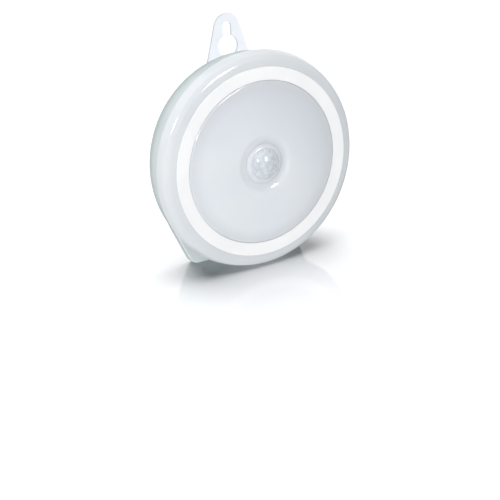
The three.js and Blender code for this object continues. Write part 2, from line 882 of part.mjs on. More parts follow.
// The slot for the hanger, with a wide part for its ears and a window in the back for a thumb
function hangerCuts() {
  const [front, back] = [hangerFront - seatGap, hangerBack + seatGap];
  const low = hangerBottomHeight - hangerTravel - seatGap;
  const stop = hangerBottomHeight + hangerEarLength + seatGap;
  const earHalf = hangerEarHalfWidth + seatGap;
  const guideHalf = hangerGuideHalfWidth + seatGap;
  const windowHalf = hangerGuideHalfWidth - hangerLipOverlap;
  const topGrip = hangerBottomHeight + hangerGripCount * hangerGripSpacing;
  const windowTop = topGrip + hangerGripWidth / 2 + seatGap;
  return [
    block([-earHalf, front, low], [earHalf, back, stop]),
    block([-guideHalf, front, low], [guideHalf, back, shellRadius]),
    plate(rectangle(windowHalf, low, windowTop, doorCornerRadius), front, overrun),
  ];
}

// Walls round the switch, inside the flat back
function switchPocket() {
  const halfLength = switchBodyLength / 2 + seatGap;
  const halfWidth = switchBodyWidth / 2 + seatGap;
  const inner = backWallFront - seatGap - switchBodyDepth;
  const outer = block(
    [-halfLength - switchPocketWall, inner, switchHeight - halfWidth - switchPocketWall],
    [halfLength + switchPocketWall, backWallFront + overrun, switchHeight + halfWidth + switchPocketWall],
  );
  return outer.subtract(block(
    [-halfLength, inner - overrun, switchHeight - halfWidth],
    [halfLength, backWallFront, switchHeight + halfWidth],
  ));
}

// The recess that the knob slides in and the slot for its stem
function switchCuts() {
  const recessHalfLength = knobLength / 2 + switchTravel + seatGap;
  const recessHalfWidth = knobWidth / 2 + seatGap;
  const recessFloor = -knobSink - knobThickness - seatGap;
  const slotHalfLength = stemLength / 2 + switchTravel + seatGap;
  const slotHalfWidth = stemWidth / 2 + seatGap;
  return [
    block(
      [-recessHalfLength, recessFloor, switchHeight - recessHalfWidth],
      [recessHalfLength, overrun, switchHeight + recessHalfWidth],
    ),
    block(
      [-slotHalfLength, backWallFront - seatGap, switchHeight - slotHalfWidth],
      [slotHalfLength, overrun, switchHeight + slotHalfWidth],
    ),
  ];
}

function housingScrewCuts() {
  return housingScrewPlaces().flatMap(([x, z]) => [
    bar(screwHeadRadius + seatGap, towerFloor, overrun, x, z),
    bar(screwShankRadius + seatGap, towerEnd - overrun, overrun, x, z),
  ]);
}

function boardScrewCuts() {
  const deepest = boardFront + boardScrewShankLength + seatGap;
  return boardScrewPlaces().map(([x, z]) => (
    bar(screwShankRadius + seatGap, boardBack - overrun, deepest, x, z)
  ));
}

// The battery door, with hooks along its top edge and a sprung latch at its bottom edge
function batteryDoor() {
  const halfLength = bayHalfLength + doorSeatWidth - seatGap;
  const high = bayTop + doorSeatWidth - seatGap;
  const low = bayBottom - doorSeatWidth + seatGap;
  const panel = plate(rectangle(halfLength, low, high, doorCornerRadius), doorInner, 0);
  const neckTop = bayTop - seatGap;
  const hookTop = doorSeat - doorHookShelf - doorHookPlay;
  const hookFront = hookTop - doorHookThickness;
  const hooks = doorHookPlaces().flatMap((x) => [
    block(
      [x - doorHookWidth / 2, hookFront, neckTop - doorHookNeck],
      [x + doorHookWidth / 2, doorInner / 2, neckTop],
    ),
    block(
      [x - doorHookWidth / 2, hookFront, neckTop - doorHookNeck],
      [x + doorHookWidth / 2, hookTop, neckTop + doorHookReach],
    ),
  ]);
  const legBottom = bayBottom + seatGap;
  const leg = block(
    [-doorLatchWidth / 2, doorInner - doorLatchLegLength, legBottom],
    [doorLatchWidth / 2, doorInner / 2, legBottom + doorLatchLegThickness],
  );
  const slits = [-1, 1].map((side) => {
    const x = side * (doorLatchWidth / 2 + doorLatchSlit / 2);
    return block(
      [x - doorLatchSlit / 2, doorInner - overrun, low - overrun],
      [x + doorLatchSlit / 2, overrun, low + doorLatchLength],
    );
  });
  const grips = [];
  for (let i = 0; i < doorGripCount; i += 1) {
    const z = low + doorLatchSlit + i * doorGripSpacing;
    grips.push(block(
      [-doorLatchWidth / 2 + doorLatchSlit, -doorGripDepth, z],
      [doorLatchWidth / 2 - doorLatchSlit, overrun, z + doorGripWidth],
    ));
  }
  return cut(join([panel, ...hooks, leg]), [...slits, ...grips]);
}

// The flat hanging tab: a tapered, round-topped blade with a keyhole on a wider guide plate
function hanger() {
  const blade = new THREE.Shape();
  const taper = THREE.MathUtils.degToRad(hangerTaperDegrees);
  const tipCentre = hangerTopHeight - hangerTipRadius;
  const shoulder = [hangerTipRadius * Math.cos(taper), tipCentre + hangerTipRadius * Math.sin(taper)];
  const rootHalf = shoulder[0] + (shoulder[1] - hangerFlareHeight) * Math.tan(taper);
  const flareTop = hangerFlareHeight + hangerFlareRadius;
  const flareHalf = shoulder[0] + (shoulder[1] - flareTop) * Math.tan(taper);
  const earTop = hangerBottomHeight + hangerEarLength;
  blade.moveTo(-hangerEarHalfWidth, hangerBottomHeight);
  blade.lineTo(hangerEarHalfWidth, hangerBottomHeight);
  blade.lineTo(hangerEarHalfWidth, earTop);
  blade.lineTo(hangerGuideHalfWidth, earTop);
  blade.lineTo(hangerGuideHalfWidth, hangerFlareHeight);
  blade.quadraticCurveTo(rootHalf, hangerFlareHeight, flareHalf, flareTop);
  blade.lineTo(shoulder[0], shoulder[1]);
  blade.absarc(0, tipCentre, hangerTipRadius, taper, Math.PI - taper, false);
  blade.lineTo(-flareHalf, flareTop);
  blade.quadraticCurveTo(-rootHalf, hangerFlareHeight, -hangerGuideHalfWidth, hangerFlareHeight);
  blade.lineTo(-hangerGuideHalfWidth, earTop);
  blade.lineTo(-hangerEarHalfWidth, earTop);
  blade.closePath();
  blade.holes.push(keyhole());
  const grips = [];
  for (let i = 0; i < hangerGripCount; i += 1) {
    const z = hangerBottomHeight + (i + 1) * hangerGripSpacing;
    grips.push(block(
      [-hangerGripHalfLength, hangerBack - hangerThickness / 2, z - hangerGripWidth / 2],
      [hangerGripHalfLength, hangerBack + hangerGripRise, z + hangerGripWidth / 2],
    ));
  }
  return join([plate(blade, hangerFront, hangerBack, 2 * outlineSteps), ...grips]);
}

// A round hole for a screw's head under a narrow slot for its shank
function keyhole() {
  const hole = new THREE.Path();
  const meet = Math.acos(keySlotHalfWidth / keyholeRadius);
  const slotCentre = keySlotTopHeight - keySlotHalfWidth;
  hole.absarc(0, keyholeCentreHeight, keyholeRadius, meet, Math.PI - meet, true);
  hole.absarc(0, slotCentre, keySlotHalfWidth, Math.PI, 0, true);
  hole.closePath();
  return hole;
}

// One battery lying along X, its nub at the +X end
function batteryCell() {
  const half = fullCellLength / 2;
  const end = half - cellNubLength;
  const profile = [
    [0, -half],
    [cellRimRadius, -half],
    [cellRadius, -half + cellRimDepth],
    [cellRadius, end - cellRimDepth],
    [cellRimRadius, end],
    [cellNubRadius, end],
    [cellNubRadius, half],
    [0, half],
  ].map(([radius, y]) => new THREE.Vector2(radius, y));
  const cell = new THREE.LatheGeometry([...profile, profile[0].clone()], partSteps);
  cell.rotateZ(-Math.PI / 2);
  return solid(cell);
}

// A contact plate for one or two cells, standing against the bay's end wall, facing +X
function contactPlate(heights, dimpleHeight) {
  const half = contactWidth / 2;
  const low = Math.min(...heights) - half;
  const high = Math.max(...heights) + half;
  const sheet = block([0, cellAxis - half, low], [contactThickness, cellAxis + half, high]);
  if (dimpleHeight === null) return sheet;
  const rise = contactThickness / 2 + contactDimpleHeight;
  const dimple = new THREE.CylinderGeometry(contactDimpleRadius / 2, contactDimpleRadius, rise, holeSteps);
  dimple.rotateZ(-Math.PI / 2);
  dimple.translate((contactThickness + rise) / 2, cellAxis, dimpleHeight);
  return sheet.add(solid(dimple));
}

// A tapering coil spring along +X, wound as one unbroken wire
function coilSpring() {
  const steps = springTurns * springTurnSteps;
  const run = springLength - springWire;
  const rings = [];
  for (let i = 0; i <= steps; i += 1) {
    const share = i / steps;
    const angle = (2 * Math.PI * i) / springTurnSteps;
    const radius = springBaseRadius + (springTipRadius - springBaseRadius) * share;
    const outward = new THREE.Vector3(0, Math.cos(angle), Math.sin(angle));
    const centre = outward.clone().multiplyScalar(radius);
    centre.x = springWire / 2 + run * share;
    rings.push({ centre, outward });
  }
  reportSpringGap(rings);
  return solid(wireAlong(rings));
}

// A wire with a flat-sided section round each centre, closed at both ends
function wireAlong(rings) {
  const along = new THREE.Vector3(1, 0, 0);
  const spots = [];
  const corners = [];
  rings.forEach(({ centre, outward }) => {
    for (let k = 0; k < springWireSides; k += 1) {
      const angle = (2 * Math.PI * k) / springWireSides;
      const spot = centre.clone();
      spot.addScaledVector(outward, (springWire / 2) * Math.cos(angle));
      spot.addScaledVector(along, (springWire / 2) * Math.sin(angle));
      spots.push(...spot.toArray());
    }
  });
  const at = (ring, k) => ring * springWireSides + (k % springWireSides);
  for (let ring = 0; ring + 1 < rings.length; ring += 1) {
    for (let k = 0; k < springWireSides; k += 1) {
      corners.push(at(ring, k), at(ring, k + 1), at(ring + 1, k + 1));
      corners.push(at(ring, k), at(ring + 1, k + 1), at(ring + 1, k));
    }
  }
  for (let k = 1; k + 1 < springWireSides; k += 1) {
    corners.push(at(0, 0), at(0, k + 1), at(0, k));
    corners.push(at(rings.length - 1, 0), at(rings.length - 1, k), at(rings.length - 1, k + 1));
  }
  const geometry = new THREE.BufferGeometry();
  geometry.setAttribute('position', new THREE.Float32BufferAttribute(spots, 3));
  geometry.setIndex(corners);
  return geometry;
}

// Prints the least gap between turns of the spring's wire
function reportSpringGap(rings) {
  let least = Infinity;
  for (let i = 0; i < rings.length; i += 1) {
    for (let j = i + springTurnSteps - 1; j < rings.length; j += 1) {
      least = Math.min(least, rings[i].centre.distanceTo(rings[j].centre) - springWire);
    }
  }
  console.log(`least gap between spring turns ${least.toFixed(2)} mm`);
}

// The slide switch's metal case, open to the back for its slider, with its pins
function switchBody() {
  const [halfLength, halfWidth] = [switchBodyLength / 2, switchBodyWidth / 2];
  const wall = switchBodyWall;
  const casing = block([-halfLength, -switchBodyDepth, -halfWidth], [halfLength, 0, halfWidth]);
  const hollow = block(
    [-halfLength + wall, -switchBodyDepth + wall, -halfWidth + wall],
    [halfLength - wall, -wall, halfWidth - wall],
  );
  const slotHalfLength = stemLength / 2 + switchTravel + seatGap;
  const slotHalfWidth = stemWidth / 2 + seatGap;
  const slot = block(
    [-slotHalfLength, -2 * wall, -slotHalfWidth],
    [slotHalfLength, overrun, slotHalfWidth],
  );
  const pins = [];
  for (let i = 0; i < switchPinCount; i += 1) {
    const x = (i - (switchPinCount - 1) / 2) * switchPinSpacing;
    pins.push(block(
      [x - switchPinWidth / 2, -switchBodyDepth - switchPinLength, -switchPinWidth / 2],
      [x + switchPinWidth / 2, -switchBodyDepth + wall / 2, switchPinWidth / 2],
    ));
  }
  return join([cut(casing, [hollow, slot]), ...pins]);
}

// The knob, its stem through the back and the slider in the switch, in one moulding
function switchKnob() {
  const capBack = -knobSink;
  const capFront = capBack - knobThickness;
  const caseBack = backWallFront - seatGap;
  const sliderBack = caseBack - switchBodyWall - sliderPlay;
  const capOutline = rectangle(knobLength / 2, -knobWidth / 2, knobWidth / 2, knobRidgeWidth);
  const cap = plate(capOutline, capFront, capBack);
  const stem = block(
    [-stemLength / 2, sliderBack - sliderThickness / 2, -stemWidth / 2],
    [stemLength / 2, (capFront + capBack) / 2, stemWidth / 2],
  );
  const slider = block(
    [-sliderLength / 2, sliderBack - sliderThickness, -sliderWidth / 2],
    [sliderLength / 2, sliderBack, sliderWidth / 2],
  );
  const grooves = [];
  for (let i = 0; i < knobRidgeCount; i += 1) {
    const x = (i - (knobRidgeCount - 1) / 2) * knobRidgeSpacing;
    grooves.push(block(
      [x - knobRidgeWidth / 2, capBack - knobRidgeDepth, -knobWidth],
      [x + knobRidgeWidth / 2, overrun, knobWidth],
    ));
  }
  return join([cut(cap, grooves), stem, slider]);
}

// Front of the light
function addFront() {
  addPiece('front_shell', frontShell(), finishes.shell);
  addPiece('trim_ring', trimRing(), finishes.ring);
  addPiece('diffuser', diffuser(), finishes.diffuser);
  addPiece('sensor_collar', sensorCollar(), finishes.clear);
  addPiece('sensor_lens', sensorLens(), finishes.clear);
  addPiece('sensor_shroud', sensorShroud(), finishes.reflector);
  addPiece('reflector', reflector(), finishes.reflector);
}

// Circuit board and everything soldered to it
function addBoard() {
  const front = boardFront - solderGap;
  const back = boardBack + solderGap;
  addPiece('circuit_board', circuitBoard(), finishes.board);
  ledPlaces().forEach(([x, z], i) => addPiece(`led_${i + 1}`, led(), finishes.ledBody, [x, front, z]));
  addPiece('pir_sensor', pirSensor(), finishes.tin, [0, front, 0]);
  addPiece('pir_window', pirWindow(), finishes.dark, [0, front, 0]);
  const photocell = bar(photocellRadius, -photocellHeight, 0);
  addPiece('light_sensor', photocell, finishes.photocell, [0, front, photocellCircleRadius]);
  addPiece('control_chip', controlChip(), finishes.dark, [chipAcross, back, chipUp]);
  addPiece('timing_capacitor', timingCapacitor(), finishes.tin, [capacitorAcross, back, capacitorUp]);
}

// Screws that hold the board to the housing, and the housing to the front shell
function addScrews() {
  const boardHead = boardFront - solderGap;
  const housingHead = towerFloor + solderGap;
  const boardScrew = screw(boardScrewShankLength);
  const housingScrew = screw(screwShankLength);
  boardScrewPlaces().forEach(([x, z], i) => {
    const mesh = addPiece(`board_screw_${i + 1}`, boardScrew, finishes.steel, [x, boardHead, z]);
    mesh.rotation.z = Math.PI;
  });
  housingScrewPlaces().forEach(([x, z], i) => {
    addPiece(`housing_screw_${i + 1}`, housingScrew, finishes.steel, [x, housingHead, z]);
  });
}

// Rear of the light: the housing, the batteries and their contacts
function addRear() {
  addPiece('rear_housing', rearHousing(), finishes.housing);
  const contactBack = bayHalfLength - seatGap;
  const springBase = contactBack - contactThickness - seatGap;
  const cellShift = springLength / 2 + seatGap / 2 - contactDimpleHeight / 2;
  const cell = batteryCell();
  const coil = coilSpring();
  for (let i = 0; i < cellCount; i += 1) {
    const side = i % 2 === 0 ? 1 : -1;
    const height = cellHeight(cellCount - 1 - i);
    const turn = side > 0 ? 0 : Math.PI;
    const cellPlace = [side * cellShift, cellAxis, height];
    const springPlace = [-side * springBase, cellAxis, height];
    addPiece(`battery_${i + 1}`, cell, finishes.cell, cellPlace).rotation.z = turn;
    addPiece(`battery_spring_${i + 1}`, coil, finishes.spring, springPlace).rotation.z = turn;
  }
  const [low, middle, high] = [cellHeight(0), cellHeight(1), cellHeight(2)];
  addPiece('contact_negative', contactPlate([low], null), finishes.tin, [-contactBack, 0, 0]);
  addPiece('contact_bridge_1', contactPlate([middle, high], middle), finishes.tin, [-contactBack, 0, 0]);
  addFacingContact('contact_positive', contactPlate([high], high), contactBack);
  addFacingContact('contact_bridge_2', contactPlate([low, middle], low), contactBack);
}

// A contact at the +X end of the bay, turned half round to face -X
function addFacingContact(name, body, across) {
  const turned = new THREE.Group();
  turned.position.set(across, 2 * cellAxis, 0);
  turned.rotation.z = Math.PI;
  light.add(turned);
  addPiece(name, body, finishes.tin, [0, 0, 0], turned);
}

// The pieces that move: the hanger slides, the door swings and the knob slides
function addMovers() {
  const hangerGroup = new THREE.Group();
  const doorGroup = new THREE.Group();
  const knobGroup = new THREE.Group();
  light.add(hangerGroup, doorGroup, knobGroup);
  addPiece('hanger', hanger(), finishes.clear, [0, 0, 0], hangerGroup);
  addPiece('battery_door', batteryDoor(), finishes.housing, [0, 0, 0], doorGroup);
  addPiece('switch_body', switchBody(), finishes.tin, [0, backWallFront - seatGap, switchHeight]);
  addPiece('switch_knob', switchKnob(), finishes.dark, [0, 0, switchHeight], knobGroup);
}

addFront();
addBoard();
addScrews();
addRear();
addMovers();

export default light;
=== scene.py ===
# Round battery motion sensor light with a pull-out hanging tab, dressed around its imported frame
# Lengths are millimetres until a shape becomes a piece. +Z is up and the light faces -Y.
import math

import bmesh
import bpy
from mathutils import Matrix, Vector


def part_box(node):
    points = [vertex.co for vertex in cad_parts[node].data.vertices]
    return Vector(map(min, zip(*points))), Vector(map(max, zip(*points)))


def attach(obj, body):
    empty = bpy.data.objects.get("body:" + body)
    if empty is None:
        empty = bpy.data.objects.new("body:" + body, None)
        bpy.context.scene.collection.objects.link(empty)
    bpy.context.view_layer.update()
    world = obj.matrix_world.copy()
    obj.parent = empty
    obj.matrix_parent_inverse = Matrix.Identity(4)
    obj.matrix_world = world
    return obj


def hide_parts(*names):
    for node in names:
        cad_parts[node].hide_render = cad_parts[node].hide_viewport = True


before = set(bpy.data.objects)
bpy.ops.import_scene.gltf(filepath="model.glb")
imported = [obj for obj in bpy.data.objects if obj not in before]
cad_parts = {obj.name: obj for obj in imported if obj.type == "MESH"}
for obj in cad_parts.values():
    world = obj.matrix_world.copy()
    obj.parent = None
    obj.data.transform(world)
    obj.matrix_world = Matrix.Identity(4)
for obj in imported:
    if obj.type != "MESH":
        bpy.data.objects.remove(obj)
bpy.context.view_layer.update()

mm = 0.001
scene = bpy.context.scene
wheelSteps = 192  # facets round the big turned parts
smallSteps = 96  # facets round the small ones
seatGap = 0.3
overrun = 1  # how far a cutter passes the surface it cuts
fillet = 0.15  # reach of a small moulded corner
mouthChamfer = 0.3  # of the openings in the housing's back


# Shapes

def extent(node):
    low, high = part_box(node)
    return low / mm, high / mm


def about(middle, half):
    return middle - half, middle + half


def bend(start, pull, end, steps=12):
    # Points of a curve between two points, pulled towards a third
    points = []
    for i in range(steps + 1):
        t = i / steps
        shares = ((1 - t) ** 2, 2 * t * (1 - t), t * t)
        points.append(tuple(sum(s * p[k] for s, p in zip(shares, (start, pull, end))) for k in (0, 1)))
    return points


def arc(radius, height, start, sweep, steps):
    # Points round a middle that stands at a height over the light's own middle
    angles = [start + sweep * i / steps for i in range(steps + 1)]
    return [(radius * math.cos(a), height + radius * math.sin(a)) for a in angles]


def softened(loop, steps=5):
    # Rounds each corner of a closed loop that has a third number, its reach along both sides
    points = [Vector(spot[:2]) for spot in loop]
    reaches = [spot[2] if len(spot) > 2 else 0 for spot in loop]
    after = points[1:] + points[:1]
    lengths = [(b - a).length for a, b in zip(points, after)]
    starts = [sum(lengths[:i]) for i in range(len(points))]
    total = sum(lengths)

    def along(distance):
        distance %= total
        i = max(k for k, start in enumerate(starts) if start <= distance)
        return points[i].lerp(after[i], (distance - starts[i]) / lengths[i])

    def isCut(distance):
        half = total / 2
        return any(abs((distance - s + half) % total - half) < reach for s, reach in zip(starts, reaches))

    rounded = []
    for point, start, reach in zip(points, starts, reaches):
        if reach > 0:
            rounded += bend(along(start - reach), point, along(start + reach), steps)
        elif not isCut(start):
            rounded.append(tuple(point))
    return rounded


def roundedOutline(corners, steps=8):
    # An outline through corners (across, up, radius), each rounded by its own radius
    loop = []
    for i, (x, z, radius) in enumerate(corners):
        here = Vector((x, z))
        others = (corners[i - 1], corners[(i + 1) % len(corners)])
        toBefore, toAfter = [(Vector(other[:2]) - here).normalized() for other in others]
        loop.append((x, z, radius / math.tan(toBefore.angle(toAfter) / 2)))
    return softened(loop, steps)


def rectangle(halfWidth, low, high, radius):
    corners = ((-halfWidth, low), (halfWidth, low), (halfWidth, high), (-halfWidth, high))
    return roundedOutline([(x, z, radius) for x, z in corners])


def drawnIn(outline, inset):
    # The same outline moved inwards by an even distance
    if inset == 0:
        return outline
    after = outline[1:] + outline[:1]
    area = sum(a[0] * b[1] - b[0] * a[1] for a, b in zip(outline, after))
    moved = []
    for i, spot in enumerate(outline):
        here = Vector(spot)
        first = (here - Vector(outline[i - 1])).normalized()
        second = (Vector(after[i]) - here).normalized()
        share = math.copysign(1, area) * inset / (1 + first.dot(second))
        moved.append((here.x - (first.y + second.y) * share, here.y + (first.x + second.x) * share))
    return moved


def edged(front, back, frontEdge, backEdge, steps=4):
    # (y, inset) layers of a plate whose front and back edges are rounded
    angles = [math.pi / 2 * i / steps for i in range(steps + 1)]
    ahead = [(front + frontEdge * (1 - math.cos(a)), frontEdge * (1 - math.sin(a))) for a in angles]
    behind = [(back - backEdge * (1 - math.cos(a)), backEdge * (1 - math.sin(a))) for a in angles]
    return ahead + behind[::-1]


def meshOf(shape):
    bmesh.ops.recalc_face_normals(shape, faces=shape.faces)
    mesh = bpy.data.meshes.new("shape")
    shape.to_mesh(mesh)
    shape.free()
    return mesh


def turned(profile, steps=wheelSteps, place=(0, 0)):
    # A closed (radius, y) profile turned about a line along the depth, at a place (across, up)
    shape = bmesh.new()
    rings = []
    for radius, y in profile:
        angles = [2 * math.pi * k / steps for k in range(steps if radius > 0 else 1)]
        spots = [(place[0] + radius * math.cos(a), y, place[1] + radius * math.sin(a)) for a in angles]
        rings.append([shape.verts.new(spot) for spot in spots])
    for first, second in zip(rings, rings[1:] + rings[:1]):
        for k in range(steps if len(first) + len(second) > 2 else 0):
            turns = ((first, k), (first, k + 1), (second, k + 1), (second, k))
            shape.faces.new(list(dict.fromkeys(ring[n % len(ring)] for ring, n in turns)))
    return meshOf(shape)


def bar(radius, front, back, place=(0, 0), steps=smallSteps):
    return turned([(0, front), (radius, front), (radius, back), (0, back)], steps, place)


def stacked(outline, layers, hole=None):
    # An outline seen from the front, lofted through (y, inset) layers
    # Where it has a hole, its walls take the second material
    shape = bmesh.new()
    rims = []
    for path, side in [(outline, 1), (hole, -1)][:2 if hole else 1]:
        loops = [[shape.verts.new((x, y, z)) for x, z in drawnIn(path, side * inset)] for y, inset in layers]
        for first, second in zip(loops, loops[1:]):
            for k in range(len(path)):
                face = shape.faces.new((first[k], first[k - 1], second[k - 1], second[k]))
                face.material_index = 1 if hole else 0
        rims.append(loops)
    for end in (0, -1):
        if hole:
            ends = [rim[end] for rim in rims]
            edges = [shape.edges.get((loop[k - 1], loop[k])) for loop in ends for k in range(len(loop))]
            bmesh.ops.triangle_fill(shape, use_beauty=True, edges=edges)
        else:
            shape.faces.new(rims[0][end])
    return meshOf(shape)


def slab(x, y, z, edge=0):
    # A box from its spans across, in depth and up, where one number is half of a span about 0
    spans = [span if isinstance(span, tuple) else about(0, span) for span in (x, y, z)]
    shape = bmesh.new()
    bmesh.ops.create_cube(shape, size=1)
    for vertex in shape.verts:
        vertex.co = [(a + b) / 2 + c * (b - a) for (a, b), c in zip(spans, vertex.co)]
    if edge:
        bmesh.ops.bevel(shape, geom=shape.edges[:], offset=edge, segments=3, profile=0.5, affect="EDGES")
    return meshOf(shape)


def combined(base, tools, how):
    # Joins tools to a base mesh, or cuts them out of it, one after another
    worker = bpy.data.objects.new("worker", base)
    helpers = [bpy.data.objects.new("helper", tool) for tool in tools]
    for helper in [worker, *helpers]:
        scene.collection.objects.link(helper)
    for helper in helpers:
        step = worker.modifiers.new("step", "BOOLEAN")
        step.operation = how
        step.solver = "MANIFOLD"
        step.object = helper
    depsgraph = bpy.context.evaluated_depsgraph_get()
    result = bpy.data.meshes.new_from_object(worker.evaluated_get(depsgraph))
    for helper in [worker, *helpers]:
        bpy.data.objects.remove(helper)
    return result


def joined(base, *tools):
    return combined(base, tools, "UNION")


def cut(base, *tools):
    return combined(base, tools, "DIFFERENCE")


def addPiece(name, mesh, replaced, slot, *materials, body="root", sharpDegrees=32, place=(0, 0, 0)):
    # Scales a finished shape to metres, gives it its materials and body, and hides the node it replaces; the
    # slot it is given is not used
    shape = bmesh.new()
    shape.from_mesh(mesh)
    bmesh.ops.remove_doubles(shape, verts=shape.verts, dist=0.002)
    bmesh.ops.dissolve_degenerate(shape, edges=shape.edges, dist=0.001)
    for face in shape.faces:
        face.smooth = True
    for edge in shape.edges:
        edge.smooth = edge.calc_face_angle(0) < math.radians(sharpDegrees)
    bmesh.ops.scale(shape, vec=(mm, mm, mm), verts=shape.verts)
    final = bpy.data.meshes.new(name)
    shape.to_mesh(final)
    shape.free()
    for material in materials:
        final.materials.append(material)
    piece = bpy.data.objects.new(name, final)
    scene.collection.objects.link(piece)
    piece.location = Vector(place) * mm
    piece.modifiers.new("even normals", "WEIGHTED_NORMAL").keep_sharp = True
    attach(piece, body)
    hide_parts(replaced)


# Shader node groups that the materials share

def paint(hexColour):
    # A colour written as on screen, as Blender's own linear numbers
    parts = [int(hexColour[i:i + 2], 16) / 255 for i in (1, 3, 5)]
    return (*[p / 12.92 if p <= 0.04045 else ((p + 0.055) / 1.055) ** 2.4 for p in parts], 1)


def feed(node, label, value):
    # Links an output socket to a node's input, or sets the input to a plain value
    if isinstance(value, bpy.types.NodeSocket):
        node.id_data.links.new(value, node.inputs[label])
    else:
        node.inputs[label].default_value = value


def addNode(tree, kind, inputs=None, **settings):
    node = tree.nodes.new("ShaderNode" + kind)
    for name, value in settings.items():
        setattr(node, name, value)
    for label, value in (inputs or {}).items():
        feed(node, label, value)
    return node


def newGroup(name, inputs, output):
    # A socket is a colour where its default or its name is one, and a number otherwise
    group = bpy.data.node_groups.new(name, "ShaderNodeTree")
    for label, value in inputs.items():
        kind = "NodeSocketColor" if isinstance(value, tuple) else "NodeSocketFloat"
        group.interface.new_socket(name=label, in_out="INPUT", socket_type=kind).default_value = value
    kind = "NodeSocketColor" if output == "Color" else "NodeSocketFloat"
    group.interface.new_socket(name=output, in_out="OUTPUT", socket_type=kind)
    return group, group.nodes.new("NodeGroupInput").outputs, group.nodes.new("NodeGroupOutput")


def maths(tree, operation, first, second=0.0):
    return addNode(tree, "Math", {0: first, 1: second}, operation=operation).outputs[0]


def millimetres(tree):
    # The piece's own coordinates in millimetres
    spot = addNode(tree, "TexCoord").outputs["Object"]
    return addNode(tree, "VectorMath", {0: spot, "Scale": 1 / mm}, operation="SCALE").outputs[0]


def coordinates(tree):
    return addNode(tree, "SeparateXYZ", {0: millimetres(tree)}).outputs


def noiseAt(tree, spot, scale, detail=2.0, roughness=0.5):
    inputs = {"Vector": spot, "Scale": scale, "Detail": detail, "Roughness": roughness}
    return addNode(tree, "TexNoise", inputs).outputs["Fac"]


def ranged(tree, value, *limits, kind="SMOOTHSTEP"):
    # Maps one range to another, or to 0 and 1
    labels = ("Value", "From Min", "From Max", "To Min", "To Max")
    inputs = dict(zip(labels, (value, *limits)))
    return addNode(tree, "MapRange", inputs, interpolation_type=kind).outputs["Result"]


def mixed(tree, share, first, second):
    # 6 and 7 are the node's two colours
    return addNode(tree, "Mix", {0: share, 6: first, 7: second}, data_type="RGBA").outputs[2]


def makeMouldGrain():
    # Height in millimetres of a moulded surface: fine grain on long shallow waves
    sizes = {"Grain Size": 0.15, "Grain Depth": 0.001, "Wave Size": 12.0, "Wave Depth": 0.01}
    group, given, leave = newGroup("mould grain", sizes, "Height")
    spot = millimetres(group)
    heights = []
    for kind, detail in (("Grain", 2.0), ("Wave", 1.0)):
        noise = noiseAt(group, spot, maths(group, "DIVIDE", 1.0, given[kind + " Size"]), detail)
        heights.append(maths(group, "MULTIPLY", noise, given[kind + " Depth"]))
    feed(leave, "Height", maths(group, "ADD", *heights))
    return group


def makeHandling():
    # The roughness that wiped smears and hairline scratches add
    group, given, leave = newGroup("handling marks", {"Smears": 0.05, "Scratches": 0.1}, "Roughness Shift")
    spot = millimetres(group)
    smear = ranged(group, noiseAt(group, spot, 0.07, 3.0, 0.6), 0.45, 0.75)
    masks = []
    for turn, stretch in ((0.6, (4.0, 0.12, 0.12)), (-0.9, (0.12, 0.12, 4.0))):
        drawn = addNode(group, "Mapping", {"Rotation": (0.2, turn, 0.3), "Scale": stretch, "Vector": spot})
        streak = maths(group, "SUBTRACT", noiseAt(group, drawn.outputs[0], 1.0, 0.0), 0.5)
        line = ranged(group, maths(group, "ABSOLUTE", streak), 0.004, 0.0)
        patch = ranged(group, noiseAt(group, spot, 0.11 + 0.02 * turn, 1.0), 0.52, 0.62)
        masks.append(maths(group, "MULTIPLY", line, patch))
    total = maths(group, "MULTIPLY", smear, given["Smears"])
    scratch = maths(group, "MULTIPLY", maths(group, "MAXIMUM", *masks), given["Scratches"])
    feed(leave, "Roughness Shift", maths(group, "ADD", total, scratch))
    return group


def makeToneDrift():
    # Slow drift between two tones of one colour, with fine speckle
    group, given, leave = newGroup("tone drift", {
        "Light Tone": (0.8, 0.8, 0.8, 1), "Dark Tone": (0.7, 0.7, 0.7, 1), "Patch Size": 25.0, "Speckle": 0.1,
    }, "Color")
    spot = millimetres(group)
    patch = noiseAt(group, spot, maths(group, "DIVIDE", 1.0, given["Patch Size"]))
    speck = maths(group, "SUBTRACT", noiseAt(group, spot, 4.0, 1.0), 0.5)
    speck = maths(group, "MULTIPLY", speck, given["Speckle"])
    share = maths(group, "ADD", ranged(group, patch, 0.3, 0.7), speck)
    feed(leave, "Color", mixed(group, share, given["Light Tone"], given["Dark Tone"]))
    return group


def makeRadialFade():
    # A mask that rises with the distance from a line along the depth
    places = {"Across": 0.0, "Up": 0.0, "Inner": 20.0, "Outer": 34.0}
    group, given, leave = newGroup("radial fade", places, "Mask")
    spot = coordinates(group)
    x = maths(group, "SUBTRACT", spot["X"], given["Across"])
    z = maths(group, "SUBTRACT", spot["Z"], given["Up"])
    squares = maths(group, "ADD", maths(group, "MULTIPLY", x, x), maths(group, "MULTIPLY", z, z))
    feed(leave, "Mask", ranged(group, maths(group, "SQRT", squares), given["Inner"], given["Outer"]))
    return group


mouldGrain = makeMouldGrain()
handlingMarks = makeHandling()
toneDrift = makeToneDrift()
radialFade = makeRadialFade()
print("shared node groups made")


# Materials

def newMaterial(name, settings):
    material = bpy.data.materials.new(name)
    material.use_nodes = True
    shader = material.node_tree.nodes["Principled BSDF"]
    for label, value in settings.items():
        feed(shader, label, value)
    return material, material.node_tree, shader


def toned(tree, light, dark, patch, speckle):
    inputs = {"Light Tone": paint(light), "Dark Tone": paint(dark), "Patch Size": patch, "Speckle": speckle}
    return addNode(tree, "Group", inputs, node_tree=toneDrift).outputs["Color"]


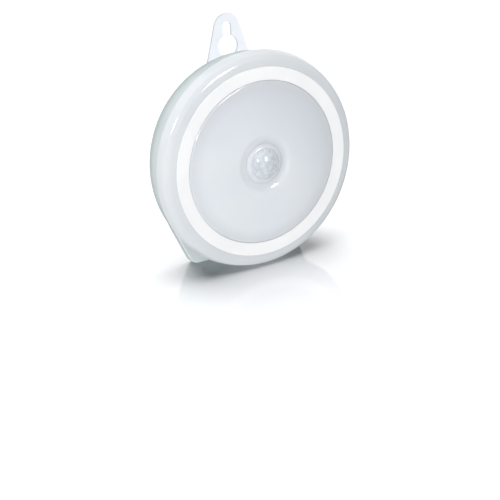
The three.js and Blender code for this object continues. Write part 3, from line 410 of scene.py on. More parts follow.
def wear(shader, roughness, smears, scratches):
    tree = shader.id_data
    marks = addNode(tree, "Group", {"Smears": smears, "Scratches": scratches}, node_tree=handlingMarks)
    feed(shader, "Roughness", maths(tree, "ADD", marks.outputs["Roughness Shift"], roughness))


def raised(shader, height, distance):
    bump = addNode(shader.id_data, "Bump", {"Distance": distance, "Height": height})
    feed(shader, "Normal", bump.outputs["Normal"])


def plastic(name, look, **settings):
    # A moulded finish from two tones, (size, depth) of its grain and waves, and (smears, scratches)
    material, tree, shader = newMaterial(name, settings)
    sizes = (*look["grain"], *look["wave"])
    inputs = dict(zip(("Grain Size", "Grain Depth", "Wave Size", "Wave Depth"), sizes))
    raised(shader, addNode(tree, "Group", inputs, node_tree=mouldGrain).outputs["Height"], mm)
    wear(shader, look["roughness"], *look["marks"])
    colour = toned(tree, *look["tones"], look["patch"], look["speckle"])
    feed(shader, "Base Color", colour)
    return material, tree, shader, colour


def milky(weight, scale):
    # Settings of a plastic that light soaks into, with the scale in metres
    return {
        "IOR": 1.49, "Subsurface Weight": weight, "Subsurface Scale": scale,
        "Subsurface Radius": (1, 1, 1),
    }


shellLook = {
    "tones": ("#DBDFE2", "#D5DADF"), "patch": 30.0, "speckle": 0.15, "roughness": 0.09,
    "marks": (0.04, 0.10), "grain": (0.5, 0.0006), "wave": (9.0, 0.012),
}
shellPlastic = plastic("gloss shell plastic", shellLook, **milky(0.25, 0.0012))[0]

ringLook = {
    "tones": ("#F7F8FA", "#F3F4F6"), "patch": 14.0, "speckle": 0.5, "roughness": 0.55,
    "marks": (0.04, 0.05), "grain": (0.16, 0.006), "wave": (6.0, 0.003),
}
ringPlastic = plastic("matt ring plastic", ringLook, IOR=1.45)[0]

housingLook = {
    "tones": ("#D2DBDD", "#C8D2D4"), "patch": 26.0, "speckle": 0.15, "roughness": 0.2,
    "marks": (0.06, 0.14), "grain": (0.4, 0.0012), "wave": (11.0, 0.014), "deep": "#8FA3A4",
}


def makeHousingPlastic(look):
    # The tint looks deeper where the wall is seen edge on
    material, tree, shader, colour = plastic("pale green grey housing plastic", look, **milky(0.15, 0.0010))
    glance = addNode(tree, "LayerWeight", {"Blend": 0.35})
    deeper = ranged(tree, glance.outputs["Facing"], 0.35, 0.95)
    feed(shader, "Base Color", mixed(tree, deeper, colour, paint(look["deep"])))
    return material


diffuserLook = {
    "tones": ("#E6EBF1", "#E1E8EE"), "patch": 22.0, "speckle": 0.1, "roughness": 0.09,
    "marks": (0.04, 0.06), "grain": (0.3, 0.0008), "wave": (14.0, 0.010),
    # The rim mask and the side mask paint shade: darker near the ring, and darker towards the upper right
    "rim": {"Inner": 27.0, "Outer": 35.0}, "rimShadeTone": "#D0D3D8", "rimShadeShare": 0.6,
    "sideShade": {"Across": -12.0, "Up": -12.0, "Inner": 18.0, "Outer": 58.0}, "sideShadeTone": "#D0D5DB",
}


def makeDiffuserMilk(look):
    # Milky sheet with painted shade: darker towards its rim and darker away from its lower left, over a tone
    # that differs at random
    settings = {**milky(0.5, 0.0025), "IOR": 1.46}
    material, tree, shader, colour = plastic("milky diffuser plastic", look, **settings)
    sideShade, rim = [addNode(tree, "Group", look[k], node_tree=radialFade).outputs["Mask"] for k in ("sideShade", "rim")]
    # Painted shade towards the upper right, away from a point at the lower left, then painted shade at the
    # rim
    colour = mixed(tree, sideShade, colour, paint(look["sideShadeTone"]))
    colour = mixed(tree, maths(tree, "MULTIPLY", rim, look["rimShadeShare"]), colour, paint(look["rimShadeTone"]))
    feed(shader, "Base Color", colour)
    return material


lensLook = {
    "tones": ("#E6EBEE", "#CBD6DD"), "patch": 1.7, "speckle": 0.3, "roughness": 0.03,
    "marks": (0.02, 0.04), "grain": (0.5, 0.0005), "wave": (4.0, 0.004),
}
lensSettings = {**milky(0.15, 0.0006), "Transmission Weight": 0.12}
lensMilk = plastic("cloudy lens plastic", lensLook, **lensSettings)[0]
collarLook = {**lensLook, "tones": ("#DBDEE4", "#D6DAE1"), "roughness": 0.2}
collarMilk = plastic("cloudy collar plastic", collarLook, **milky(0.15, 0.0006))[0]

tabLook = {
    "tones": ("#E4E7EB", "#E1E4E8"), "patch": 12.0, "speckle": 0.1, "roughness": 0.05,
    "marks": (0.06, 0.12), "grain": (0.5, 0.0004), "wave": (8.0, 0.006),
}
tabClear = plastic("clear tab plastic", tabLook, **{"IOR": 1.49, "Transmission Weight": 1.0})[0]
tabEdgeLook = {
    **tabLook, "tones": ("#A9B6B6", "#9DABAB"), "roughness": 0.3, "shownOutside": 0.8, "shownInside": 0.04,
    "lineDepth": 0.5, "lineFade": 0.15, "behindLine": 0.2,
}


def makeTabEdge(look):
    # The cut edge shows as a line from outside and all but vanishes when seen through the sheet
    material, tree, shader, colour = plastic("cut edge of the clear tab", look, IOR=1.49)
    inside = addNode(tree, "NewGeometry").outputs["Backfacing"]
    shown = ranged(tree, inside, 0.0, 1.0, look["shownOutside"], look["shownInside"], kind="LINEAR")
    lineBack = extent("hanger")[0].y + look["lineDepth"]
    limits = (lineBack + look["lineFade"], lineBack, look["behindLine"], 1.0)
    line = ranged(tree, coordinates(tree)["Y"], *limits)
    feed(shader, "Alpha", maths(tree, "MULTIPLY", shown, line))
    return material


innerLook = {
    "tones": ("#F4F4F2", "#EDEDEA"), "patch": 18.0, "speckle": 0.2, "roughness": 0.4,
    "marks": (0.05, 0.08), "grain": (0.3, 0.002), "wave": (8.0, 0.008),
}
innerWhite = plastic("white inner plastic", innerLook, IOR=1.45)[0]

darkLook = {
    "tones": ("#26282B", "#1C1E21"), "patch": 4.0, "speckle": 0.3, "roughness": 0.38,
    "marks": (0.08, 0.12), "grain": (0.12, 0.003), "wave": (3.0, 0.002),
}
darkPlastic = plastic("fine dark plastic", darkLook, IOR=1.5)[0]

tinLook = {
    "tones": ("#C6C9CC", "#AEB2B6"), "patch": 2.5, "speckle": 0.4, "roughness": 0.26,
    "marks": (0.12, 0.2), "grain": (0.1, 0.001), "wave": (1.5, 0.002),
}
tinMetal = plastic("tinned steel", tinLook, Metallic=1.0)[0]
springLook = {**tinLook, "tones": ("#D0CBBE", "#B5B0A4"), "roughness": 0.22}
springWire = plastic("nickelled spring wire", springLook, Metallic=1.0)[0]
steelLook = {**tinLook, "tones": ("#B9BEC4", "#9FA6AE"), "roughness": 0.3}
screwSteel = plastic("zinc plated screw steel", steelLook, Metallic=1.0)[0]


def makeBoardLacquer():
    # Green lacquer over copper tracks, with bare solder dots
    look = {"lacquer": "#1E5A38", "track": "#2F7A4C", "solder": "#C3C6C2", "trackWidth": 0.32, "pitch": 2.54}
    material, tree, shader = newMaterial("green board lacquer", {"IOR": 1.5})
    spot = millimetres(tree)
    turn = addNode(tree, "Mapping", {"Rotation": (math.pi / 2, 0, 0), "Vector": spot})
    brick = addNode(tree, "TexBrick", {
        "Vector": turn.outputs[0], "Scale": 1 / look["pitch"],
        "Mortar Size": look["trackWidth"] / look["pitch"] / 2, "Mortar": paint(look["track"]),
        "Color1": paint(look["lacquer"]), "Color2": paint(look["lacquer"]),
    }, offset=0.5, squash=0.7, squash_frequency=3)
    dots = addNode(tree, "TexVoronoi", {"Scale": 0.28, "Vector": spot})
    dot = ranged(tree, dots.outputs["Distance"], 0.16, 0.13)
    feed(shader, "Base Color", mixed(tree, dot, brick.outputs["Color"], paint(look["solder"])))
    wear(shader, 0.3, 0.1, 0.1)
    raised(shader, brick.outputs["Fac"], 0.05 * mm)
    return material


def makeLedFill(front):
    # White case with a yellow fill, told apart by their depth
    material, tree, shader = newMaterial("led case and fill", {"IOR": 1.5})
    depth = coordinates(tree)["Y"]
    inWell = ranged(tree, depth, front + 0.1, front + 0.3)
    beside = ranged(tree, depth, front + 0.5, front + 0.6)
    fill = maths(tree, "MULTIPLY", inWell, maths(tree, "SUBTRACT", 1.0, beside))
    case = toned(tree, "#F4F3EC", "#E9E7DC", 2.0, 0.2)
    feed(shader, "Base Color", mixed(tree, fill, case, paint("#E8C862")))
    wear(shader, 0.25, 0.1, 0.05)
    return material


def makePhotocellFace():
    # Lacquered ceramic with a winding dark track across its face
    material, tree, shader = newMaterial("photocell face", {"IOR": 1.5})
    inputs = {"Scale": 0.42, "Distortion": 1.5, "Vector": millimetres(tree)}
    track = addNode(tree, "TexWave", inputs, wave_type="BANDS", bands_direction="Z")
    line = ranged(tree, track.outputs["Fac"], 0.35, 0.5)
    feed(shader, "Base Color", mixed(tree, line, paint("#7A3A1C"), paint("#D98A55")))
    wear(shader, 0.2, 0.1, 0.05)
    return material


def makeCellSleeve(name, towards, centre, halfLength):
    # A lacquered sleeve with a lighter band at the nub's end and bare steel ends
    look = {
        "sleeve": ("#2B3540", "#232C36"), "band": "#B98A3C", "steel": "#C4C6C8", "bandShine": 0.8,
        "bandLength": 9.0, "endLength": 0.9, "nubLength": 1.0,
    }
    material, tree, shader = newMaterial(name, {"IOR": 1.5, "Coat Weight": 0.4, "Coat Roughness": 0.1})
    place = maths(tree, "SUBTRACT", coordinates(tree)["X"], centre)
    place = maths(tree, "MULTIPLY", place, towards)
    shoulder = halfLength - look["nubLength"]
    bandStart, highEnd = shoulder - look["bandLength"], shoulder - look["endLength"]
    lowEnd = look["endLength"] - halfLength
    band = ranged(tree, place, bandStart, bandStart + 0.05)
    high = ranged(tree, place, highEnd, highEnd + 0.03)
    ends = maths(tree, "MAXIMUM", high, ranged(tree, place, lowEnd, lowEnd - 0.03))
    colour = mixed(tree, band, toned(tree, *look["sleeve"], 8.0, 0.2), paint(look["band"]))
    feed(shader, "Base Color", mixed(tree, ends, colour, paint(look["steel"])))
    bright = maths(tree, "MULTIPLY", band, look["bandShine"])
    feed(shader, "Metallic", maths(tree, "MAXIMUM", ends, bright))
    wear(shader, 0.25, 0.15, 0.2)
    return material


boardLow, boardHigh = extent("circuit_board")
housingPlastic = makeHousingPlastic(housingLook)
diffuserMilk = makeDiffuserMilk(diffuserLook)
tabEdge = makeTabEdge(tabEdgeLook)
boardLacquer = makeBoardLacquer()
ledFill = makeLedFill(extent("led_1")[0].y)
photocellFace = makePhotocellFace()
print("materials made")


# Front shell

shellHigh = extent("front_shell")[1]
ringLow, ringHigh = extent("trim_ring")
ringFace = ringLow.y
ringBack = ringHigh.y
shellRadius = shellHigh.x

shell = {
    "lipDepth": 0.3, "creaseInset": 3.0, "creaseDepth": 1.0, "brinkInset": 1.25, "brinkDepth": 2.2,
    "crestDepth": 6.1, "seamDepth": 6.8, "faceBulge": 0.03, "bandBulge": 0.25, "edgeRadius": 0.6,
    "wall": 1.8, "ledgeThickness": 1.6, "ledgeReach": 3.2, "seatWall": 1.5, "flangeRoom": 1.0,
    "lipSoftness": 0.2, "creaseSoftness": 0.5, "brinkSoftness": 0.5, "postRadius": 2.7, "boreRadius": 1.3,
}
seat = ringHigh.x + seatGap
ledgeInner = seat - shell["ledgeReach"]
flangeFront = ringBack + seatGap
flangeBack = flangeFront + shell["flangeRoom"]
ledgeFront = flangeBack + seatGap
ledgeBack = ledgeFront + shell["ledgeThickness"]

screws = {"circleInset": 3.85, "degrees": (35, -53.4)}
screwCircle = ledgeInner - screws["circleInset"]
screwPlaces = []
for degrees in screws["degrees"]:
    angle = math.radians(degrees)
    for side in (1, -1):
        screwPlaces.append((side * screwCircle * math.cos(angle), screwCircle * math.sin(angle)))


def frontShell():
    # The two soft creases carry the streaks of light along the face's rim
    def at(inset, depth):
        return shellRadius - inset, ringFace + depth

    def bulged(a, b, bulge):
        return bend(a, ((a[0] + b[0]) / 2 + bulge, (a[1] + b[1]) / 2 - bulge), b, 24)

    lip = (seat, ringFace + shell["lipDepth"])
    crease = at(shell["creaseInset"], shell["creaseDepth"])
    brink = at(shell["brinkInset"], shell["brinkDepth"])
    crest = at(0, shell["crestDepth"])
    insets = (0, shell["edgeRadius"], shell["wall"])
    seamCorner, seamEdge, seamInner = [at(inset, shell["seamDepth"]) for inset in insets]
    seatOuter = seat + shell["seatWall"]
    body = turned(softened([
        (*lip, shell["lipSoftness"]), *bulged(lip, crease, shell["faceBulge"])[1:-1],
        (*crease, shell["creaseSoftness"]), (*brink, shell["brinkSoftness"]),
        *bulged(brink, crest, shell["bandBulge"])[1:], *bend(crest, seamCorner, seamEdge, 8)[1:],
        (*seamInner, fillet), (seamInner[0], brink[1] + shell["wall"], 0.5),
        (seatOuter, lip[1] + shell["wall"], 0.5), (seatOuter, ledgeBack, 0.2),
        (ledgeInner, ledgeBack, 0.2), (ledgeInner, ledgeFront, 0.2), (seat, ledgeFront),
    ], 6))
    posts = []
    for x, z in screwPlaces:
        posts.append(bar(shell["postRadius"], ledgeFront + 0.2, shellHigh.y, (x, z), 48))
        reach = (ledgeInner + shell["postRadius"]) - screwCircle
        ear = slab((0, reach), (ledgeFront + 0.1, ledgeBack - 0.1), shell["postRadius"], 0.2)
        ear.transform(Matrix.Rotation(-math.atan2(z, x), 4, "Y"))
        ear.transform(Matrix.Translation((x, 0, z)))
        posts.append(ear)
    bores = [bar(shell["boreRadius"], ledgeBack, shellHigh.y + overrun, place, 32) for place in screwPlaces]
    return cut(joined(body, *posts), *bores)


addPiece("frontShell", frontShell(), "front_shell", "shell", shellPlastic)


# Trim ring

ring = {"width": 4.85, "edge": 0.08, "outerFit": 0.28, "innerFit": 0.29}


def trimRing():
    inner = ringHigh.x - ring["width"] - ring["innerFit"]
    outer = ringHigh.x + ring["outerFit"]
    return turned(softened([
        (inner, ringFace, ring["edge"]), (outer, ringFace, ring["edge"]),
        (outer, ringBack, 0.1), (inner, ringBack, 0.1),
    ]))


addPiece("trimRing", trimRing(), "trim_ring", "ring", ringPlastic)


# Diffuser

disc = {
    "wall": 1.5, "flangeWidth": 4.4, "edgeDepth": 0.8, "edgeRadius": 1.2, "crown": 1.7, "hole": 8.4,
    "funnelRadius": 12.9, "funnelDrop": 0.9, "funnelSeat": 10.0, "funnelTop": 12.0, "funnelSoftness": 0.8,
}
crownFace = ringFace - disc["crown"]
funnelFace = crownFace + disc["funnelDrop"]


def diffuser():
    rim = extent("diffuser")[1].x
    edge = rim - disc["flangeWidth"]
    edgeFace = ringFace + disc["edgeDepth"] - disc["edgeRadius"]
    shoulder = edge - disc["edgeRadius"]
    wall, soft, radius = disc["wall"], disc["funnelSoftness"], disc["edgeRadius"]
    edgeBack, crownBack = edgeFace + wall, crownFace + wall
    start = disc["funnelRadius"]
    middle = (start + shoulder) / 2
    return turned(softened([
        (disc["hole"], funnelFace, 0.03), (disc["funnelSeat"], funnelFace, soft),
        (disc["funnelTop"], crownFace, soft),
        *bend((start, crownFace), (middle, crownFace), (shoulder, edgeFace), 32),
        *bend((shoulder, edgeFace), (edge, edgeFace), (edge, edgeFace + radius), 10)[1:],
        (edge, flangeFront, fillet), (rim, flangeFront, fillet), (rim, flangeBack, fillet),
        (edge - wall, flangeBack, fillet), (edge - wall, edgeBack + radius / 2, 0.3),
        *bend((shoulder - wall / 2, edgeBack), (middle, crownBack), (start, crownBack), 24),
        (disc["hole"], funnelFace + wall, 0.2),
    ]))


addPiece("diffuserDisc", diffuser(), "diffuser", "diffuser", diffuserMilk)
print("shell, ring and diffuser made")


# Sensor collar and lens

sensor = {
    "lensRadius": 6.3, "lensWall": 0.8, "domeHeight": 3.6, "baseRise": 1.8, "domeSteps": 40,
    "collarFlat": 0.75, "collarSoftness": 0.5, "collarFit": 0.005, "flangeWidth": 1.6,
    "lensFlange": 0.8, "collarFlange": 1.0, "facetRings": 4, "facetDepth": 0.12,
}
domeBase = ringFace - sensor["baseRise"]


def sensorCollar():
    # A low collar that starts level with the dome's foot and slopes into the disc's funnel
    inner = sensor["lensRadius"] + sensor["collarFit"]
    outer = disc["hole"] - sensor["collarFit"]
    flange = outer + sensor["flangeWidth"]
    back = extent("sensor_collar")[1].y
    front = back - sensor["collarFlange"]
    return turned(softened([
        (inner, domeBase), (inner + sensor["collarFlat"], domeBase, sensor["collarSoftness"]),
        (outer, funnelFace), (outer, front, 0.1), (flange, front, fillet), (flange, back, fillet),
        (inner, back, 0.1),
    ]), smallSteps)


def domePoints(rim, height, base):
    # From the rim to the top of a shallow dome
    sphere = (rim * rim + height * height) / (2 * height)
    half = math.asin(rim / sphere)
    angles = [half * (1 - i / sensor["domeSteps"]) for i in range(sensor["domeSteps"])]
    points = [(sphere * math.sin(a), base - height + sphere * (1 - math.cos(a))) for a in angles]
    return [*points, (0, base - height)]


def sensorLens():
    # A dome whose inside is moulded as rings of small lenses
    rim, wall, height = sensor["lensRadius"], sensor["lensWall"], sensor["domeHeight"]
    back = extent("sensor_lens")[1].y
    front = back - sensor["lensFlange"]
    flange = rim + sensor["flangeWidth"]
    outside = domePoints(rim, height, domeBase)[::-1]
    inside = domePoints(rim - wall, height - wall / 2, domeBase + wall / 2)
    body = turned([
        *outside, (rim, front), (flange, front), (flange, back), (rim - wall, back), *inside,
    ], smallSteps)
    ringOfRadius = (rim - wall) / sensor["facetRings"]
    for vertex in body.vertices:
        x, y, z = vertex.co
        radius = math.hypot(x, z)
        if radius > rim - wall - 0.05 or y < insideDepth(radius, inside) - 0.1:
            continue
        ringIndex = min(int(radius / ringOfRadius), sensor["facetRings"] - 1)
        around = max(1, 6 * ringIndex)
        share = (math.atan2(z, x) / (2 * math.pi) + 0.25 * ringIndex) * around % 1
        across = radius / ringOfRadius - ringIndex
        bulge = (1 - (2 * across - 1) ** 2) * (1 - (2 * share - 1) ** 2 if ringIndex else 1)
        vertex.co.y += sensor["facetDepth"] * bulge
    return body


def insideDepth(radius, inside):
    for (outer, y0), (inner, y1) in zip(inside, inside[1:]):
        if inner <= radius <= outer:
            return y0 + (y1 - y0) * (outer - radius) / (outer - inner)
    return inside[-1][1]


addPiece("sensorCollar", sensorCollar(), "sensor_collar", "clear_lens", collarMilk)
addPiece("sensorLens", sensorLens(), "sensor_lens", "clear_lens", lensMilk, sharpDegrees=20)
print("sensor lens made")


# Rear housing

housingLow = extent("rear_housing")[0]
tabLow, tabHigh = extent("hanger")
doorLow, doorHigh = extent("battery_door")
knobLow, knobHigh = extent("switch_knob")
cellLow, cellHigh = extent("battery_1")

housing = {
    "step": 0.85, "taper": 5.0, "taperPower": 2.45, "roundDepth": 1.8, "roundRadius": 4.5, "wall": 1.8,
    "spigotLength": 2.6, "spigotThickness": 1.2, "frontSoftness": 0.25, "towerRadius": 3.9,
    "towerLength": 10.2, "towerFloor": 1.6, "headRadius": 2.5, "boreChamfer": 0.35,
    "boardPosts": [(0, 24.0), (-9.0, -25.0), (9.0, -25.0)], "boardPostRadius": 2.4, "boardBore": 5.8,
}
foot = {"halfWidth": 25.8, "thickness": 4.5, "cornerRadius": 4.6, "shoulderRadius": 8.0, "edge": 0.8}
bay = {
    "wall": 1.8, "floor": 1.2, "seatWidth": 1.2, "cornerRadius": 1.6, "doorThickness": 1.6,
    "cradleWidth": 1.6, "cradleHeight": 1.9, "cradleLength": 30.0, "scoopRadius": 5.0, "scoopDepth": 1.1,
    "hookWidth": 6.0, "hookSpacing": 30.0, "hookNeck": 1.0, "hookReach": 1.3, "hookThickness": 0.8,
    "hookShelf": 0.6, "hookPlay": 0.3,
}
tab = {
    "thickness": 1.2, "tipRadius": 6.0, "taper": 16.8, "flareHeight": 36.5, "flareRadius": 4.5,
    "guideHalf": 12.5, "earLength": 2.6, "travel": 14.0, "keyholeDrop": 13.5, "keyholeRadius": 4.4,
    "slotHalf": 1.75, "slotDrop": 3.5, "lipOverlap": 5.0, "channelFloor": 1.2, "grips": 2,
    "gripSpacing": 1.6, "gripWidth": 0.8, "gripHalf": 5.0, "edge": 0.06,
}
switch = {
    "travel": 2.5, "stemLength": 2.4, "stemWidth": 1.6, "bodyLength": 12.4, "bodyWidth": 5.5,
    "bodyDepth": 4.0, "pocketWall": 1.2, "knobThickness": 0.8, "cornerRadius": 0.6,
}
housingFront = housingLow.y + housing["spigotLength"]
housingFrontRadius = shellRadius - housing["step"]
housingRun = -housing["roundDepth"] - housingFront
doorInner = -bay["doorThickness"]
doorSeat = doorInner - seatGap
bayHalf = doorHigh.x - bay["seatWidth"] + seatGap
bayTop = cellHigh.z + seatGap
bayBottom = doorLow.z + bay["seatWidth"] - seatGap
bayFloor = cellLow.y - seatGap
bayFloorFront = bayFloor - bay["floor"]
cellPitch = (bayTop - bayBottom - 2 * seatGap - (cellHigh.z - cellLow.z)) / 2
hookMiddles = about(0, bay["hookSpacing"] / 2)
footDrop = -housingLow.z
tabFront = tabLow.y
tabBack = tabFront + tab["thickness"]
channelLow = tabLow.z - tab["travel"] - seatGap
switchHeight = (knobLow.z + knobHigh.z) / 2


def housingRadius(y):
    return housingFrontRadius - housing["taper"] * ((y - housingFront) / housingRun) ** housing["taperPower"]


def housingProfile(inset, softness=0):
    sideSteps = 28
    side = []
    for i in range(sideSteps + 1):
        y = housingFront + housingRun * i / sideSteps
        side.append((housingRadius(y) - inset, y - inset * i / sideSteps))
    lastRadius, lastDepth = side[-1]
    slope = housing["taper"] * housing["taperPower"] / housingRun
    flatRadius = lastRadius - housing["roundRadius"] * math.cos(math.atan(slope))
    cornerRadius = lastRadius + (inset + lastDepth) * slope
    corner = bend(side[-1], (cornerRadius, -inset), (flatRadius, -inset), 14)
    side[0] = (*side[0], softness)
    return softened([(0, housingFront), *side, *corner[1:], (0, -inset)])


def footOutline():
    # Sides that touch the round body and end in a flat base
    circle = housingRadius(-foot["thickness"])
    half = foot["halfWidth"]
    reach = math.hypot(half, footDrop)
    along = math.sqrt(reach * reach - circle * circle)
    lean = math.asin(circle / reach) - math.atan2(half, footDrop)
    topHalf, top = half + along * math.sin(lean), along * math.cos(lean) - footDrop
    corner, shoulder = foot["cornerRadius"], foot["shoulderRadius"]
    return roundedOutline([
        (-half, -footDrop, corner), (half, -footDrop, corner),
        (topHalf, top, shoulder), (-topHalf, top, shoulder),
    ], 12)


def flaredPlate(outline, floor):
    # A cutter that widens at the housing's back
    wide = -mouthChamfer
    return stacked(outline, [(floor, 0), (wide, 0), (0, wide), (overrun, wide)])


def rearHousing():
    outside = joined(
        turned(housingProfile(0, housing["frontSoftness"])),
        stacked(footOutline(), edged(-foot["thickness"], 0, foot["edge"], foot["edge"])),
    )
    inside = turned(housingProfile(housing["wall"]))
    mouth = bar(housingFrontRadius - housing["wall"], *about(housingFront, overrun), steps=wheelSteps)
    heights = (bayBottom - bay["wall"], bayTop + bay["wall"])
    tub = slab(bayHalf + bay["wall"], (bayFloorFront, 0), heights, 0.4)
    postRadius, posts = housing["boardPostRadius"], housing["boardPosts"]
    fittings = joined(
        tub, tabChannel(), switchPocket(),
        *[bar(housing["towerRadius"], -housing["towerLength"], 0, place) for place in screwPlaces],
        *[bar(postRadius, boardHigh.y + 0.1, 0, place, 48) for place in posts],
    )
    fittings = combined(fittings, [outside.copy()], "INTERSECT")
    body = joined(cut(outside, inside, mouth), fittings, spigot())
    body = cut(body, *bayCuts(), *tabCuts(), *switchCuts(), *screwCuts())
    depths = (bayFloorFront + bay["floor"] / 2, bayFloor + bay["cradleHeight"])
    heights = about((bayTop + bayBottom) / 2, cellPitch / 2)
    ribs = [slab(bay["cradleLength"] / 2, depths, about(z, bay["cradleWidth"] / 2), 0.3) for z in heights]
    return joined(body, *ribs)


def spigot():
    outer = shellRadius - shell["wall"] - seatGap
    inner = outer - housing["spigotThickness"]
    front, back = housingFront - housing["spigotLength"], housingFront + housing["spigotThickness"]
    return turned(softened([(inner, front, 0.2), (outer, front, 0.3), (outer, back), (inner, back)]))


def bayCuts():
    pocket = slab(bayHalf, (bayFloor, overrun), (bayBottom, bayTop))
    margin = bay["seatWidth"]
    seatOutline = rectangle(bayHalf + margin, bayBottom - margin, bayTop + margin, bay["cornerRadius"])
    hookBack = doorSeat - bay["hookShelf"]
    depths = (hookBack - bay["hookThickness"] - 2 * bay["hookPlay"], hookBack)
    heights = (bayTop - overrun, bayTop + bay["hookReach"])
    hooks = [slab(about(x, bay["hookWidth"] / 2 + seatGap), depths, heights) for x in hookMiddles]
    radius, deep = bay["scoopRadius"], -bay["scoopDepth"]
    scoop = turned([
        (0, deep), *bend((radius * 0.5, deep), (radius * 0.9, deep), (radius, 0), 8),
        (radius + 0.2, overrun), (0, overrun),
    ], 64, (0, bayBottom - margin))
    return [pocket, flaredPlate(seatOutline, doorSeat), *hooks, scoop]


def tabChannel():
    half = tabHigh.x + seatGap + bay["wall"]
    front = tabFront - seatGap - tab["channelFloor"]
    return slab(half, (front, 0), (channelLow - bay["wall"], shellRadius), 0.3)


def tabCuts():
    depths = (tabFront - seatGap, tabBack + seatGap)
    stop = tabLow.z + tab["earLength"] + seatGap
    windowHalf = tab["guideHalf"] - tab["lipOverlap"]
    windowTop = tabLow.z + tab["grips"] * tab["gripSpacing"] + tab["gripWidth"] / 2 + seatGap
    return [
        slab(tabHigh.x + seatGap, depths, (channelLow, stop)),
        slab(tab["guideHalf"] + seatGap, depths, (channelLow, shellRadius)),
        flaredPlate(rectangle(windowHalf, channelLow, windowTop, bay["cornerRadius"]), depths[0]),
    ]


def switchPocket():
    halfLength, halfWidth = [switch[k] / 2 + seatGap for k in ("bodyLength", "bodyWidth")]
    inner = -housing["wall"] - seatGap - switch["bodyDepth"]
    wall = switch["pocketWall"]
    outer = slab(halfLength + wall, (inner, 0), about(switchHeight, halfWidth + wall), 0.3)
    return cut(outer, slab(halfLength, (inner - overrun, -housing["wall"]), about(switchHeight, halfWidth)))


def switchCuts():
    heights = about(switchHeight, (knobHigh.z - knobLow.z) / 2 + seatGap)
    recess = rectangle(knobHigh.x + switch["travel"] + seatGap, *heights, switch["cornerRadius"])
    slot = slab(
        switch["stemLength"] / 2 + switch["travel"] + seatGap, (-housing["wall"] - seatGap, overrun),
        about(switchHeight, switch["stemWidth"] / 2 + seatGap),
    )
    return [flaredPlate(recess, knobHigh.y - switch["knobThickness"] - seatGap), slot]


def screwCuts():
    # Counterbores and bores for the housing's screws, and bores in the board's posts
    length, radius, chamfer = housing["towerLength"], housing["headRadius"] + seatGap, housing["boreChamfer"]
    floor = housing["towerFloor"] - length
    wide = radius + chamfer
    profile = [(0, floor), (radius, floor), (radius, -chamfer), (wide, 0), (wide, overrun), (0, overrun)]
    cutters = []
    for place in screwPlaces:
        cutters.append(turned(profile, 64, place))
        cutters.append(bar(shell["boreRadius"], -length - overrun, overrun, place, 32))
    depths = (boardHigh.y - overrun, boardLow.y + housing["boardBore"])
    return cutters + [bar(shell["boreRadius"], *depths, place, 32) for place in housing["boardPosts"]]


addPiece("rearHousing", rearHousing(), "rear_housing", "housing", housingPlastic, sharpDegrees=28)
print("rear housing made")


# Hanging tab

def tabOutline():
    taper = math.radians(tab["taper"])
    tip, guide, flareLow = tab["tipRadius"], tab["guideHalf"], tab["flareHeight"]
    flareTop = flareLow + tab["flareRadius"]
    tipArc = arc(tip, tabHigh.z - tip, taper, math.pi - 2 * taper, 32)
    x, z = tipArc[0]
    rootHalf, flareHalf = [x + (z - height) * math.tan(taper) for height in (flareLow, flareTop)]
    earTop = tabLow.z + tab["earLength"]
    side = [
        (tabHigh.x, tabLow.z), (tabHigh.x, earTop), (guide, earTop), (guide, flareLow),
        *bend((guide, flareLow), (rootHalf, flareLow), (flareHalf, flareTop))[1:],
    ]
    return side + tipArc + [(-x, z) for x, z in side[::-1]]


def keyhole():
    radius, half = tab["keyholeRadius"], tab["slotHalf"]
    meet = math.acos(half / radius)
    hole = arc(radius, tabHigh.z - tab["keyholeDrop"], meet, -math.pi - 2 * meet, 48)
    return hole + arc(half, tabHigh.z - tab["slotDrop"] - half, math.pi, -math.pi, 16)


def hangingTab():
    blade = stacked(tabOutline(), edged(tabFront, tabBack, tab["edge"], tab["edge"], 3), keyhole())
    heights = [tabLow.z + (i + 1) * tab["gripSpacing"] for i in range(tab["grips"])]
    depths = (tabBack - tab["thickness"] / 2, tabHigh.y)
    ribs = [slab(tab["gripHalf"], depths, about(z, tab["gripWidth"] / 2), fillet) for z in heights]
    return joined(blade, *ribs)


addPiece("hangingTab", hangingTab(), "hanger", "clear_tab", tabClear, tabEdge, body="hanger")


# Battery door

door = {
    "edge": 0.35, "latchHalf": 6.0, "latchLength": 7.0, "slit": 1.0, "legThickness": 1.0, "legLength": 1.8,
    "grips": 3, "gripWidth": 0.7, "gripDepth": 0.4, "gripSpacing": 1.6, "gripInset": 1.0,
    "hair": 0.01,  # keeps two faces from lying in one plane
}


